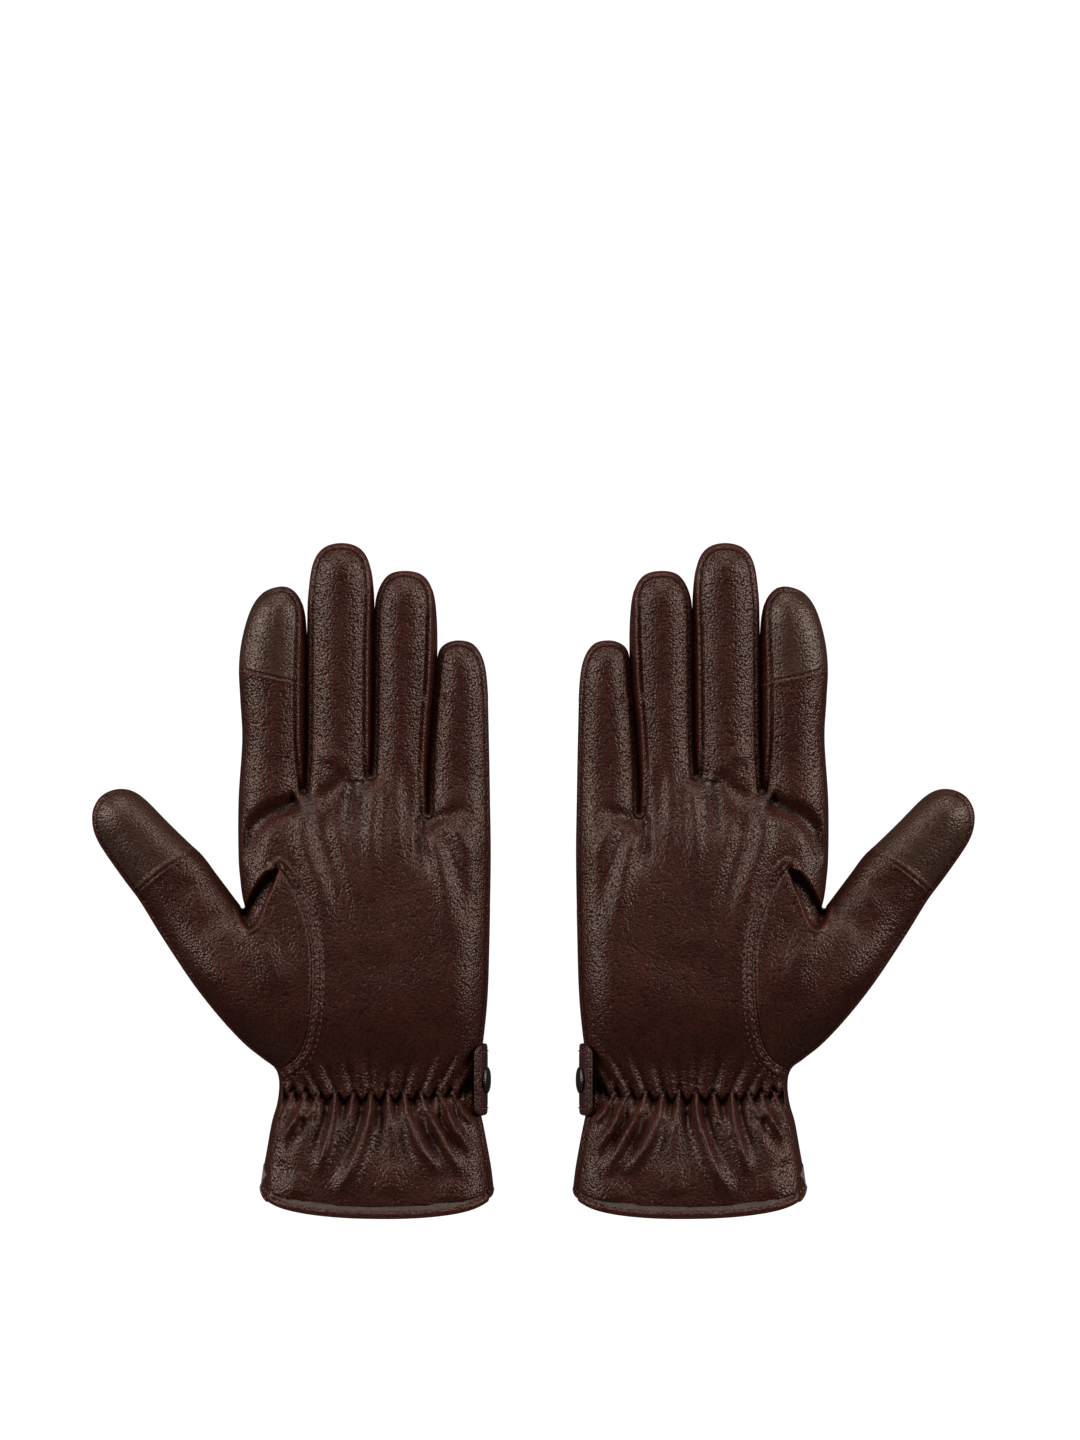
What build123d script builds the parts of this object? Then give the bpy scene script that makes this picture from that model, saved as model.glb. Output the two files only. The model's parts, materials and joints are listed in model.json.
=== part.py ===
"""A pair of lined leather touchscreen gloves, lying on their backs with the palms up.

Frame of the pair: the origin is on the resting plane under the middle of the pair, +Y points to the fingertips, +Z out of
the palms and +X from the left glove to the right one. Each glove is modelled once, as the right one, in a frame of its own
whose +X points to the thumb, and the left one is its mirror image. A glove is a stack of three nested skins: the outside of
the leather, the face between leather and lining, and the inside of the lining. Regions then cut the two layers into the
pieces that are sewn together. Millimetres throughout.
"""

from build123d import *
from math import radians, tan
import os

# Driving dimensions
GLOVE_OFFSET = 61.2        # from the middle of the pair to the middle of a glove
HALF_LENGTH = 122.5        # from the origin's line to the longest fingertip, and to the lowest point of the hem
LEATHER = 1.0              # thickness of the leather
LINING = 1.4               # thickness of the fleece lining
SEAM_HEIGHT = 11.0         # height of the seam between the palm side and the back
SLIT = 0.6                 # gap between two pieces that move apart

# Cross-sections of the palm and cuff: y, lowest x, highest x, lowest z, highest z, corner radius. Those that dip below the
# resting plane are cut off flat on it.
SECTIONS = [
    (-132.0, -47.0, 40.0, 1.2, 34.0, 13.0),
    (-92.0, -43.5, 33.0, 4.0, 30.5, 9.0),
    (-77.0, -41.2, 30.6, 4.0, 29.0, 8.0),
    (-57.0, -43.2, 35.5, 4.0, 28.5, 9.0),
    (-42.0, -45.0, 40.5, -1.2, 28.0, 11.0),
    (-15.0, -45.2, 43.5, -1.2, 27.0, 11.0),
    (10.0, -45.2, 45.2, -1.2, 24.5, 10.5),
    (40.0, -45.2, 45.2, -1.2, 20.4, 9.5),
]
HEM_CORNER_Y = -110.5      # where the hem meets the sides of the cuff
HEM_CORNERS_X = (-46.5, 38.5)

# The crotches between the fingers, from the little finger to the index finger
CROTCHES = [(-23.9, 22.8), (0.6, 35.4), (22.7, 31.2)]

# Fingers: middle line's x at y = FINGER_REF_Y, lean towards the thumb in degrees, width, height, y of the tip, y of the hinge
FINGER_REF_Y = 34.0
FINGER_ROOT_Y = 4.0
FINGERS = {
    "index": dict(x=33.9, lean=-1.4, width=21.8, height=20.0, tip=106.2, hinge=56.0, bare_sides=(1,)),
    "middle": dict(x=11.5, lean=-2.5, width=21.4, height=20.5, tip=HALF_LENGTH + 0.14, hinge=61.0, bare_sides=()),
    "ring": dict(x=-11.5, lean=-2.2, width=22.6, height=19.5, tip=112.7, hinge=56.5, bare_sides=()),
    "little": dict(x=-34.5, lean=-0.7, width=19.8, height=18.0, tip=87.0, hinge=44.5, bare_sides=(-1,)),
}
FINGER_RANGE = 90.0        # a finger curls through this angle, degrees

# Thumb: a tube whose middle line passes through THUMB_CENTRE, turned from +Y towards +X
THUMB_CENTRE = (55.4, -21.7)
THUMB_ANGLE = 35.0
THUMB = dict(width=26.0, height=21.5, low=1.5, root=-45.0, tip=65.0, hinge=26.0)
THUMB_RANGE = 70.0
THUMB_SEAM = [
    (28.8, -67.5), (21.6, -57.6), (17.2, -43.1), (16.1, -28.6), (19.0, -14.1), (24.4, -2.0), (32.4, 10.0),
    (37.1, -5.0), (40.8, -15.5), (46.2, -10.5),
]

# Touchscreen patches: from this distance short of the fingertip
INDEX_PATCH_LENGTH = 29.0
THUMB_PATCH_LENGTH = 30.9

# Fourchettes: the strips of leather between the fingers
FOURCHETTE_LOW, FOURCHETTE_HIGH = 5.0, 15.0
FOURCHETTE_END = 12.0      # they stop this far short of the fingertip

# Hem binding, elastic, strap and snap
BINDING = 0.9              # thickness of the folded strip round the hem
BINDING_HEIGHT = 4.5
HEM_MIDDLE_Y = BINDING - HALF_LENGTH    # where the lowest point of the leather's own edge lies
ELASTIC = (0.7, -81.0, -73.0)       # thickness, lowest y, highest y
STRAP_Y = (-84.8, -59.4)
STRAP_THICK = 2.0
STRAP_ROOT_X = 18.0        # its sewn end on the back of the wrist, on the thumb side
TAB_FOLD_Z = 11.0          # the tab folds out about this height at the side of the wrist
TAB_TOP_Z = 24.5
TAB_INNER_X = -43.5
SNAP_Y, SNAP_Z = -72.1, 18.0
SNAP_CAP_R, SNAP_STUD_R = 4.7, 2.6


def section(y, x0, x1, z0, z1, r, inset):
    """One upright rounded rectangle across the glove."""
    plane = Plane(origin=((x0 + x1) / 2, y, (z0 + z1) / 2), x_dir=(1, 0, 0), z_dir=(0, -1, 0))
    return plane * RectangleRounded(x1 - x0 - 2 * inset, z1 - z0 - 2 * inset, r - inset)


def upright_prism(points, low=-20, high=80):
    """A solid over an outline on the resting plane."""
    return Pos(0, 0, low) * extrude(make_face(Polyline(*points, close=True)), high - low)


def hem_prism(shift, side_margin=30):
    """Everything on the finger side of the hem's curve, which is moved by shift along Y."""
    (x0, x1), y = HEM_CORNERS_X, HEM_CORNER_Y + shift
    curve = ThreePointArc((x0, y), ((x0 + x1) / 2, HEM_MIDDLE_Y + shift), (x1, y))
    rest = Polyline(
        (x1, y), (x1 + side_margin, y + 6), (170, 0), (170, 170), (-120, 170), (-120, 0),
        (x0 - side_margin, y + 6), (x0, y),
    )
    return Pos(0, 0, -20) * extrude(make_face(curve + rest), 100)


def palm_and_cuff(inset):
    """The body of the glove up to the line of crotches."""
    body = loft([section(*s, inset) for s in SECTIONS], ruled=True) & box(-100, 100, -150, 100, inset, 60)
    crotches = [(x, y - inset) for x, y in CROTCHES]
    left, right = crotches[0][1], crotches[-1][1]
    return body & upright_prism([(-70, -150), (70, -150), (70, right), *reversed(crotches), (-70, left)])


def digit(width, height, low, root, tip, inset):
    """A finger lying along Y: a rounded outline drawn up, with its edges rounded over, closed at the tip."""
    corner = 0.47 * width
    outline = RectangleRounded(width - 2 * inset, tip - root - inset, corner - inset, align=(Align.CENTER, Align.MIN))
    block = Pos(0, root, low + inset) * extrude(outline, height - 2 * inset)
    rims = block.edges().filter_by(lambda e: abs(e.bounding_box().size.Z) < 1e-6)
    return fillet(rims, 0.44 * height - inset)


def finger_place(name):
    """Where a finger's own frame lies: its origin is on its middle line at FINGER_REF_Y."""
    f = FINGERS[name]
    return Location((f["x"], FINGER_REF_Y, 0), (0, 0, -f["lean"]))


def finger(name, inset):
    f = FINGERS[name]
    return finger_place(name) * digit(
        f["width"], f["height"], 0, FINGER_ROOT_Y - FINGER_REF_Y, f["tip"] - FINGER_REF_Y, inset
    )


def thumb_place():
    return Location((*THUMB_CENTRE, 0), (0, 0, -THUMB_ANGLE))


def thumb(inset):
    """The thumb's tube, trimmed along the slanting edge that runs down to the wrist."""
    tube = digit(THUMB["width"], THUMB["height"], THUMB["low"], THUMB["root"], THUMB["tip"], inset)
    trim = upright_prism([(31 - inset, -70), (46 - inset, -55.5), (66 - inset, -29), (150, 20), (150, 120),
                          (-100, 120), (-100, -70)])
    return (thumb_place() * tube) & trim


def skin(inset):
    """The whole glove's outside, moved inwards by inset."""
    whole = palm_and_cuff(inset) + thumb(inset)
    for name in FINGERS:
        whole = whole + finger(name, inset)
    return whole


def side_prism(points, half_width):
    """A prism across a digit, from its outline in the digit's own Y and Z."""
    face = make_face(Polyline(*[(0, y, z) for y, z in points], close=True))
    return Pos(-half_width, 0, 0) * extrude(face, 2 * half_width, dir=(1, 0, 0))


def hinge_regions(hinge, tip, axis_z, reach, half_width, curl):
    """A digit's moving end, its crease and what the two cut out of the hand.

    Towards the palm the two tubes are mitred by half of the curl, so that they meet when it is curled."""
    slope = tan(radians(curl / 2))
    rise = reach - axis_z
    gap = SLIT / 2
    back = -3.0
    moving = side_prism([
        (hinge + gap, back), (hinge + gap, axis_z), (hinge + 2 * gap + slope * rise, reach), (tip + 5, reach),
        (tip + 5, back),
    ], half_width)
    crease = side_prism([
        (hinge, axis_z + 2 * gap), (hinge + slope * rise, reach), (hinge - slope * rise, reach),
    ], half_width)
    cut = side_prism([
        (hinge - gap, back), (hinge - gap, axis_z), (hinge - 2 * gap - slope * rise, reach), (tip + 5, reach),
        (tip + 5, back),
    ], half_width)
    return moving, crease, cut


def solids_of(shape, least=0.5):
    """The solids of a boolean's result, without the crumbs of a shared face."""
    kept = [s for s in shape.solids() if s.volume > least]
    return kept


NODES = {}


def keep(name, shape):
    """Files a piece of the right glove, and its mirror image as the left glove's."""
    kept = solids_of(shape)
    right = Compound(children=[Pos(GLOVE_OFFSET, 0, 0) * s for s in kept])
    left = Compound(children=[mirror(Pos(GLOVE_OFFSET, 0, 0) * s, about=Plane.YZ) for s in kept])
    NODES["right_" + name], NODES["left_" + name] = right, left


def box(x0, x1, y0, y1, z0, z1):
    return Pos((x0 + x1) / 2, (y0 + y1) / 2, (z0 + z1) / 2) * Box(x1 - x0, y1 - y0, z1 - z0)


def fourchette_strips(width, start, end, sides):
    """The two long sides of a finger, in its own frame."""
    strips = [
        box(*sorted((side * (width / 2 - 2.2), side * (width / 2 + 0.25))), start, end, FOURCHETTE_LOW, FOURCHETTE_HIGH)
        for side in sides
    ]
    return strips


def make_digits(leather, lining):
    """Files the moving end of each digit and returns what is left of the two layers, with the creases."""
    creases = []
    places = {name: finger_place(name) for name in FINGERS}
    places["thumb"] = thumb_place()
    for name, place in places.items():
        if name == "thumb":
            hinge, tip, width, curl = THUMB["hinge"], THUMB["tip"], THUMB["width"], THUMB_RANGE
            middle_z, top = THUMB["low"] + THUMB["height"] / 2, THUMB["low"] + THUMB["height"]
        else:
            f = FINGERS[name]
            hinge, tip, width, curl = f["hinge"] - FINGER_REF_Y, f["tip"] - FINGER_REF_Y, f["width"], FINGER_RANGE
            middle_z, top = f["height"] / 2, f["height"]
        regions = hinge_regions(hinge, tip, middle_z, top + 1.5, width / 2 + 0.28, curl)
        moving, crease, cut = (place * r for r in regions)
        outer, inner = leather & moving, lining & moving
        creases += solids_of(leather & crease)
        leather, lining = leather - cut, lining - cut
        if name != "thumb":
            sides = [s for s in (-1, 1) if s not in FINGERS[name]["bare_sides"]]
            strips = [place * s for s in fourchette_strips(width, hinge, tip - FOURCHETTE_END, sides)]
            sides_leather = [s for strip in strips for s in solids_of(outer & strip)]
            for strip in strips:
                outer = outer - strip
            keep(name + ("_fourchettes" if len(sides) == 2 else "_fourchette"), Compound(children=sides_leather))
        if name in ("index", "thumb"):
            length = INDEX_PATCH_LENGTH if name == "index" else THUMB_PATCH_LENGTH
            patch = place * box(-width, width, tip - length, tip + 5, SEAM_HEIGHT, top + 5)
            keep(name + "_touch_patch", outer & patch)
            outer = outer - patch
        keep(name + "_leather", outer)
        keep(name + "_lining", inner)
    keep("finger_creases", Compound(children=creases))
    return leather, lining


def make_hand(leather, lining):
    """Files the pieces of the hand and cuff."""
    webs = []
    for x, y in CROTCHES:
        web = box(x - 3.0, x + 3.0, y - 2.5, y + 40, FOURCHETTE_LOW, FOURCHETTE_HIGH)
        webs += solids_of(leather & web)
        leather = leather - web
    keep("crotch_fourchettes", Compound(children=webs))

    seam = Spline(*THUMB_SEAM[:7]) + Polyline(*THUMB_SEAM[6:], (52, 60), (140, 60), (140, -67.5), THUMB_SEAM[0])
    thumb_region = Pos(0, 0, -20) * extrude(make_face(seam), 100)
    keep("thumb_base_leather", leather & thumb_region)
    leather = leather - thumb_region

    palm_side = box(-150, 150, -150, 150, SEAM_HEIGHT, 80)
    palm, back = leather & palm_side, leather - palm_side

    stud_hole = Location((0, SNAP_Y, SNAP_Z), (0, 90, 0)) * Cylinder(1.2, 120)
    side = box(-60, -30, -100, -50, 0, 60)
    palm = palm - (stud_hole & side)
    keep("palm_leather", palm)
    keep("back_leather", back)

    thick, y0, y1 = ELASTIC
    elastic = (skin_mid - palm_and_cuff(LEATHER + thick)) & box(-150, 150, y0, y1, SEAM_HEIGHT + 2, 80)
    elastic = elastic - box(-60, -34, y0 - 1, y1 + 1, 0, 80)
    keep("wrist_elastic", elastic)
    keep("lining", lining - elastic - (Location((0, SNAP_Y, SNAP_Z), (0, 90, 0)) * Cylinder(3.6, 120) & side))


def make_binding():
    """The strip of leather folded over the hem, outside and inside."""
    both = LEATHER + LINING
    ring = palm_and_cuff(-BINDING) - palm_and_cuff(both + BINDING)
    ring = (ring & hem_prism(-BINDING)) - hem_prism(BINDING_HEIGHT)
    layers = (palm_and_cuff(0) - palm_and_cuff(both)) & hem_prism(0)
    keep("hem_binding", ring - layers)


def make_strap():
    """The strap across the back of the wrist, its tab at the outer side, and the snap that closes it."""
    y0, y1 = STRAP_Y
    bottom = SECTIONS[2][3]
    bend = TAB_FOLD_Z - SLIT - bottom
    x_bend = TAB_INNER_X + bend
    middle = ((y0 + y1) / 2, bottom + bend)
    flat = box(x_bend, STRAP_ROOT_X, y0, y1, bottom - STRAP_THICK, bottom)
    turn = Pos(x_bend, *middle) * Rot(90, 0, 0) * (
        Cylinder(bend + STRAP_THICK, y1 - y0) - Cylinder(bend, y1 - y0 + 2)
    )
    turn = turn & box(x_bend - 30, x_bend, y0, y1, -10, bottom + bend)
    keep("back_strap", flat + turn)

    along = Location((TAB_INNER_X, SNAP_Y, SNAP_Z), (0, -90, 0))     # its +Z points out of the wrist's side
    tab = box(TAB_INNER_X - STRAP_THICK, TAB_INNER_X, y0, y1, TAB_FOLD_Z, TAB_TOP_Z)
    tab = fillet(tab.edges().filter_by(Axis.X).group_by(Axis.Z)[-1], 3.0)
    seat = along * Pos(0, 0, 0.6) * Cylinder(SNAP_STUD_R + 0.8, 1.2)
    shank = along * Pos(0, 0, 1.6) * Cylinder(1.0, 0.8)
    cap = fillet((along * Pos(0, 0, STRAP_THICK + 0.6) * Cylinder(SNAP_CAP_R, 1.2)).edges().group_by(Axis.X)[0], 0.8)
    keep("strap_tab", tab - seat - shank)
    keep("snap_socket", seat - along * Pos(0, 0, 0.4) * Cylinder(SNAP_STUD_R + 0.4, 1.0))
    keep("snap_cap", cap + shank)

    shell, hidden = palm_and_cuff(0), palm_and_cuff(LEATHER)
    head = along * Pos(0, 0, -0.2) * Cylinder(SNAP_STUD_R, 1.3)
    neck = along * Pos(0, 0, -2.0) * Cylinder(1.15, 4.0)
    flange = (along * Pos(0, 0, -4.0) * Cylinder(3.3, 8.0)) & (hidden - palm_and_cuff(LEATHER + 0.8))
    keep("snap_stud", (head - shell) + (neck - palm_and_cuff(LEATHER + 0.8)) + flange)


skin_outer, skin_mid, skin_inner = skin(0), skin(LEATHER), skin(LEATHER + LINING)
leather_layer = (skin_outer - skin_mid) & hem_prism(0)
lining_layer = (skin_mid - skin_inner) & hem_prism(0)
hand_leather, hand_lining = make_digits(leather_layer, lining_layer)
make_hand(hand_leather, hand_lining)
make_binding()
make_strap()

os.makedirs("parts", exist_ok=True)
for node, shape in NODES.items():
    export_step(shape, f"parts/{node}.step")
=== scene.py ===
"""A pair of lined leather touchscreen gloves, lying on their backs with the palms up, on a pale floor.

Lengths are in millimetres in the frame of one glove: +x towards its thumb, +y to the fingertips and +z out of
the palm, with the origin on the resting plane under the palm. Each glove's skin is one welded surface over
its outline. It rises from the outline to the palm side and sinks to the back like a flattened tube; seams,
folds and gathers are added to that height. It is then cut along the seams into the leather pieces. The left
glove mirrors the right one.
"""

import json
import random
from math import cos, pi, sin, sqrt

import bpy
import numpy as np
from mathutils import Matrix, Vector, noise
from mathutils.geometry import delaunay_2d_cdt
from mathutils.kdtree import KDTree


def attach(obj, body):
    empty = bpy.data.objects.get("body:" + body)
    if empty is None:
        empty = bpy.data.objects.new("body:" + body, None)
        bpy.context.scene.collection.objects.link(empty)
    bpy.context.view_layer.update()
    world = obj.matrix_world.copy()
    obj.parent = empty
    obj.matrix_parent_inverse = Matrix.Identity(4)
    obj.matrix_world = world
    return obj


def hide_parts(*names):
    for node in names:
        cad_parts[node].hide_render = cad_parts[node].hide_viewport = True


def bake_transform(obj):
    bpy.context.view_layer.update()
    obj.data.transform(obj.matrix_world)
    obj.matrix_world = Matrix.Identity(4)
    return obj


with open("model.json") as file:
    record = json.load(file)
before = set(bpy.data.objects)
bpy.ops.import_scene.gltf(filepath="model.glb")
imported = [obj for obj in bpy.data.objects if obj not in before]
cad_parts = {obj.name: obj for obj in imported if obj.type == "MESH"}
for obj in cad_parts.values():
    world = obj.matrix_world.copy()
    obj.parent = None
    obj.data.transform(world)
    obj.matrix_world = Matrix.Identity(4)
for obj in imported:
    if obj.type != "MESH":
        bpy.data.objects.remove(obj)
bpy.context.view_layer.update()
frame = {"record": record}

MM = 0.001
SIDES = {"right": 1, "left": -1}
MOUNTS = {m["name"]: m for m in frame["record"]["mounts"]}
GLOVE_X = MOUNTS["right_back_rest"]["pos_m"][0] / MM     # from the pair's middle to a glove's middle

# ---- The shape of a glove ----
# The outline, in five legs from the little finger's side of the hem to the thumb's side of it. Each point is
# x, y, how far the palm-side seam lies in from the outline, and how real that seam is: 0 where the leather
# runs on. Where that last number is left out it is 1.

LITTLE_LEG = [
    (-46.8, -112.0, 1.0, 0.6), (-45.9, -105.1, 1.0, 0.6), (-43.7, -92.8, 1.0, 0.6),
    (-41.7, -83.0, 1.0, 0.6), (-40.6, -75.5, 1.0, 0.6), (-41.9, -64.9, 1.0, 0.6),
    (-43.5, -52.2, 1.0, 0.6), (-44.5, -40.2, 0.9, 0.6), (-45.0, -24.3, 0.9, 0.6), (-45.6, 7.6, 0.8, 0.6),
    (-45.3, 29.4, 0.8, 0.6), (-44.8, 54.7, 0.8, 0.7), (-44.2, 71.0, 0.9), (-42.7, 80.1, 0.9),
    (-39.2, 85.6, 1.2), (-34.2, 87.0, 1.3), (-29.8, 86.0, 1.1), (-27.2, 83.4, 1.0), (-26.3, 78.6, 1.0),
    (-25.8, 72.0, 1.0), (-24.7, 60.2, 1.0), (-23.6, 43.9, 1.1), (-23.1, 33.0, 1.4), (-22.9, 24.5, 1.6),
]
RING_LEG = [
    (-22.8, 24.5, 1.6), (-23.0, 33.0, 2.8), (-23.5, 43.9, 3.4), (-24.5, 58.3, 3.6), (-25.6, 70.5, 3.6),
    (-26.2, 84.0, 3.6), (-25.9, 96.4, 3.0), (-24.6, 104.9, 1.8), (-21.0, 110.6, 1.4),
    (-14.7, 112.3, 1.4), (-8.4, 110.6, 1.2), (-4.6, 103.9, 1.2), (-3.6, 94.6, 1.2), (-3.4, 80.0, 1.2),
    (-3.3, 65.6, 1.2), (-2.9, 47.5, 1.3), (-2.2, 38.6, 1.6),
]
MIDDLE_LEG = [
    (-2.1, 38.6, 1.6), (-2.8, 47.5, 2.8), (-3.2, 65.6, 3.2), (-3.35, 87.3, 3.2), (-3.1, 105.2, 2.2),
    (-1.3, 115.4, 1.5), (2.3, 120.7, 1.4), (8.5, 122.4, 1.4), (14.8, 120.7, 1.3), (18.6, 115.4, 1.4),
    (20.3, 105.5, 1.5), (20.8, 94.6, 1.5), (21.0, 65.6, 1.5), (21.1, 47.5, 1.4), (21.8, 33.3, 1.2),
]
INDEX_LEG = [
    (21.9, 33.3, 1.2), (21.55, 40.0, 2.4), (21.2, 51.1, 3.8), (21.1, 72.8, 4.0), (21.3, 90.0, 3.2),
    (22.6, 99.6, 1.8), (26.0, 105.0, 1.3), (30.6, 106.6, 1.2, 0.8), (37.0, 104.5, 1.4, 0.2),
    (41.5, 98.4, 2.2, 0.0), (44.7, 87.6, 2.8, 0.0), (45.8, 77.2, 2.8, 0.0), (45.3, 65.6, 2.8, 0.0),
    (44.6, 51.1, 2.8, 0.0), (45.9, 29.4, 2.8, 0.0), (45.8, 8.7, 2.4, 0.0), (45.0, -1.0, 1.6, 0.0),
    (44.3, -6.0, 1.0, 0.0), (43.5, -9.3, 0.7, 0.0),
]
THUMB_LEG = [
    (45.3, -9.3, 0.7, 0.0), (47.3, -6.7, 1.4, 0.0), (49.8, -3.4, 2.2, 0.0), (54.3, 2.6, 2.8, 0.0),
    (59.0, 8.9, 2.8, 0.0), (64.3, 13.9, 2.8, 0.0), (71.6, 21.0, 2.8, 0.0), (79.4, 28.9, 2.4, 0.0),
    (84.0, 32.2, 1.8, 0.0), (88.3, 33.2, 1.4, 0.2), (92.6, 32.3, 1.2, 0.6), (96.2, 29.8, 1.2),
    (98.5, 25.4, 1.2), (98.6, 20.0, 1.2), (97.0, 15.0, 1.2), (93.6, 9.4, 1.3), (87.4, 0.6, 1.4),
    (81.6, -7.2, 1.4), (75.2, -17.6, 1.4), (68.0, -28.6, 1.4), (60.5, -39.3, 1.4), (52.0, -49.9, 1.4),
    (43.4, -59.0, 1.3), (36.6, -64.5, 1.2), (32.3, -68.2, 1.4, 0.4), (31.0, -73.6, 1.8, 0.0),
    (31.7, -80.8, 2.2, 0.0), (33.6, -87.6, 2.6, 0.0), (35.6, -98.9, 2.6, 0.0), (37.5, -108.7, 2.6, 0.0),
    (38.0, -111.0, 2.6, 0.0),
]
LEGS = [[(*point, 1.0)[:4] for point in leg]
        for leg in (LITTLE_LEG, RING_LEG, MIDDLE_LEG, INDEX_LEG, THUMB_LEG)]
CROTCH_STEPS = 7
OUTLINE_STEP = 1.0
BACK_INSET = 3.0

# The hem: its corners and how far its curve sags below them
HEM_CORNERS = ((-46.8, -112.0), (38.0, -111.0))
HEM_SAG = 9.4
HEM_POWER = 2.2
HEM_BACK_DROP = 1.7        # the back's hem shows below the palm side's
HEM_STITCH = 2.9           # from the edge up to the row of stitches
THUMB_ROWS = (1.6, 4.4)    # from the thumb's seam out to its two rows of stitches

# Over y: the top of the palm side, the lowest line of the back, and the width of the rounded edge
HEIGHTS = [
    (-135, 30.6, 1.6, 13.0), (-112, 30.2, 1.6, 13.0), (-98, 28.8, 2.6, 12.0), (-88, 26.6, 3.8, 10.5),
    (-80, 23.4, 4.4, 9.0), (-75, 21.4, 4.4, 9.0), (-68, 22.8, 4.2, 10.4), (-58, 26.0, 4.1, 12.4),
    (-48, 28.4, 0.6, 13.0), (-36, 29.4, 0.2, 13.5), (-20, 28.2, 0.0, 13.5), (10, 24.8, 0.0, 13.0),
    (32, 21.8, 0.0, 12.0), (60, 20.4, 0.0, 11.6),
]
HEIGHT_SOFTNESS = 4.0      # rounds the steps between them
# Across the fingers, from the little one: their middle lines, heights and half widths
FINGER_X = [-34.5, -14.0, 9.0, 33.5]
FINGER_TOP = [18.4, 19.9, 20.9, 20.4]
FINGER_R = [9.6, 10.9, 11.8, 12.0]
FINGERS_START, FINGERS_FULL = 12.0, 44.0
THUMB_TOP, THUMB_LOW, THUMB_R = 23.2, 1.4, 12.6
THUMB_ROOT_X, THUMB_ROOT_Y = 55.4, -21.7
THUMB_AXIS = (0.574, 0.819)
WEB, WEB_ACROSS = (43.5, -12.0), (0.82, 0.57)      # the fork between the thumb and the index finger
EDGE_LEVEL = 0.47          # the outline lies this share of the way up from the lowest line to the top
EDGE_POWER = 2.15
BACK_POWER = 2.5

# Seams that cross the leather
APEX = (30.4, 4.7)         # of the keystone seam at the root of the thumb
TURNED_EDGE = [
    (45.7, -9.4), (45.1, -12.4), (43.4, -15.7), (41.1, -17.3), (39.0, -15.9), (37.1, -12.3),
    (35.0, -6.9), (32.4, -1.4), APEX,
]
# the other lip of the slit in the web
SLIT_EDGE = [(43.2, -9.0), (41.2, -4.4), (38.6, 0.2), (35.6, 3.6), (32.6, 4.6)]
THUMB_SEAM = [
    APEX, (27.0, 0.2), (23.4, -6.9), (20.5, -15.9), (19.0, -25.0), (18.7, -35.9), (19.4, -46.7),
    (21.4, -57.4), (24.8, -64.0), (31.0, -68.6),
]
BACK_THUMB_SEAM = [
    (44.4, -13.0), (42.0, -20.0), (39.0, -28.0), (36.0, -42.0), (33.0, -56.0), (30.5, -67.5),
]
THUMB_PATCH_SEAM = [(83.4, -4.6), (73.0, 4.0), (62.0, 11.2)]
INDEX_PATCH_SEAM = [(45.3, 77.0), (36.1, 74.7), (21.2, 71.6)]
FOURCHETTE_END = 11        # how far below the fingertip the fourchettes end
# Where the touch patches end on the outline, at the tips
INDEX_TIP, THUMB_TIP = (30.6, 106.3), (92.6, 32.3)
THUMB_BASE_ENDS = ((45.4, -9.4), (31.4, -69.5))
# Where each digit's own pieces begin, across each digit: its two sides
SPLITS = {
    "little": ((-45.2, 29.0), (-24.2, 29.0)),
    "ring": ((-22.8, 41.0), (-3.2, 41.5)),
    "middle": ((-1.8, 42.0), (21.2, 42.0)),
    "index": ((21.5, 38.0), (44.9, 38.0)),
    "thumb": ((50.6, -2.2), (72.6, -21.8)),
}

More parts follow.
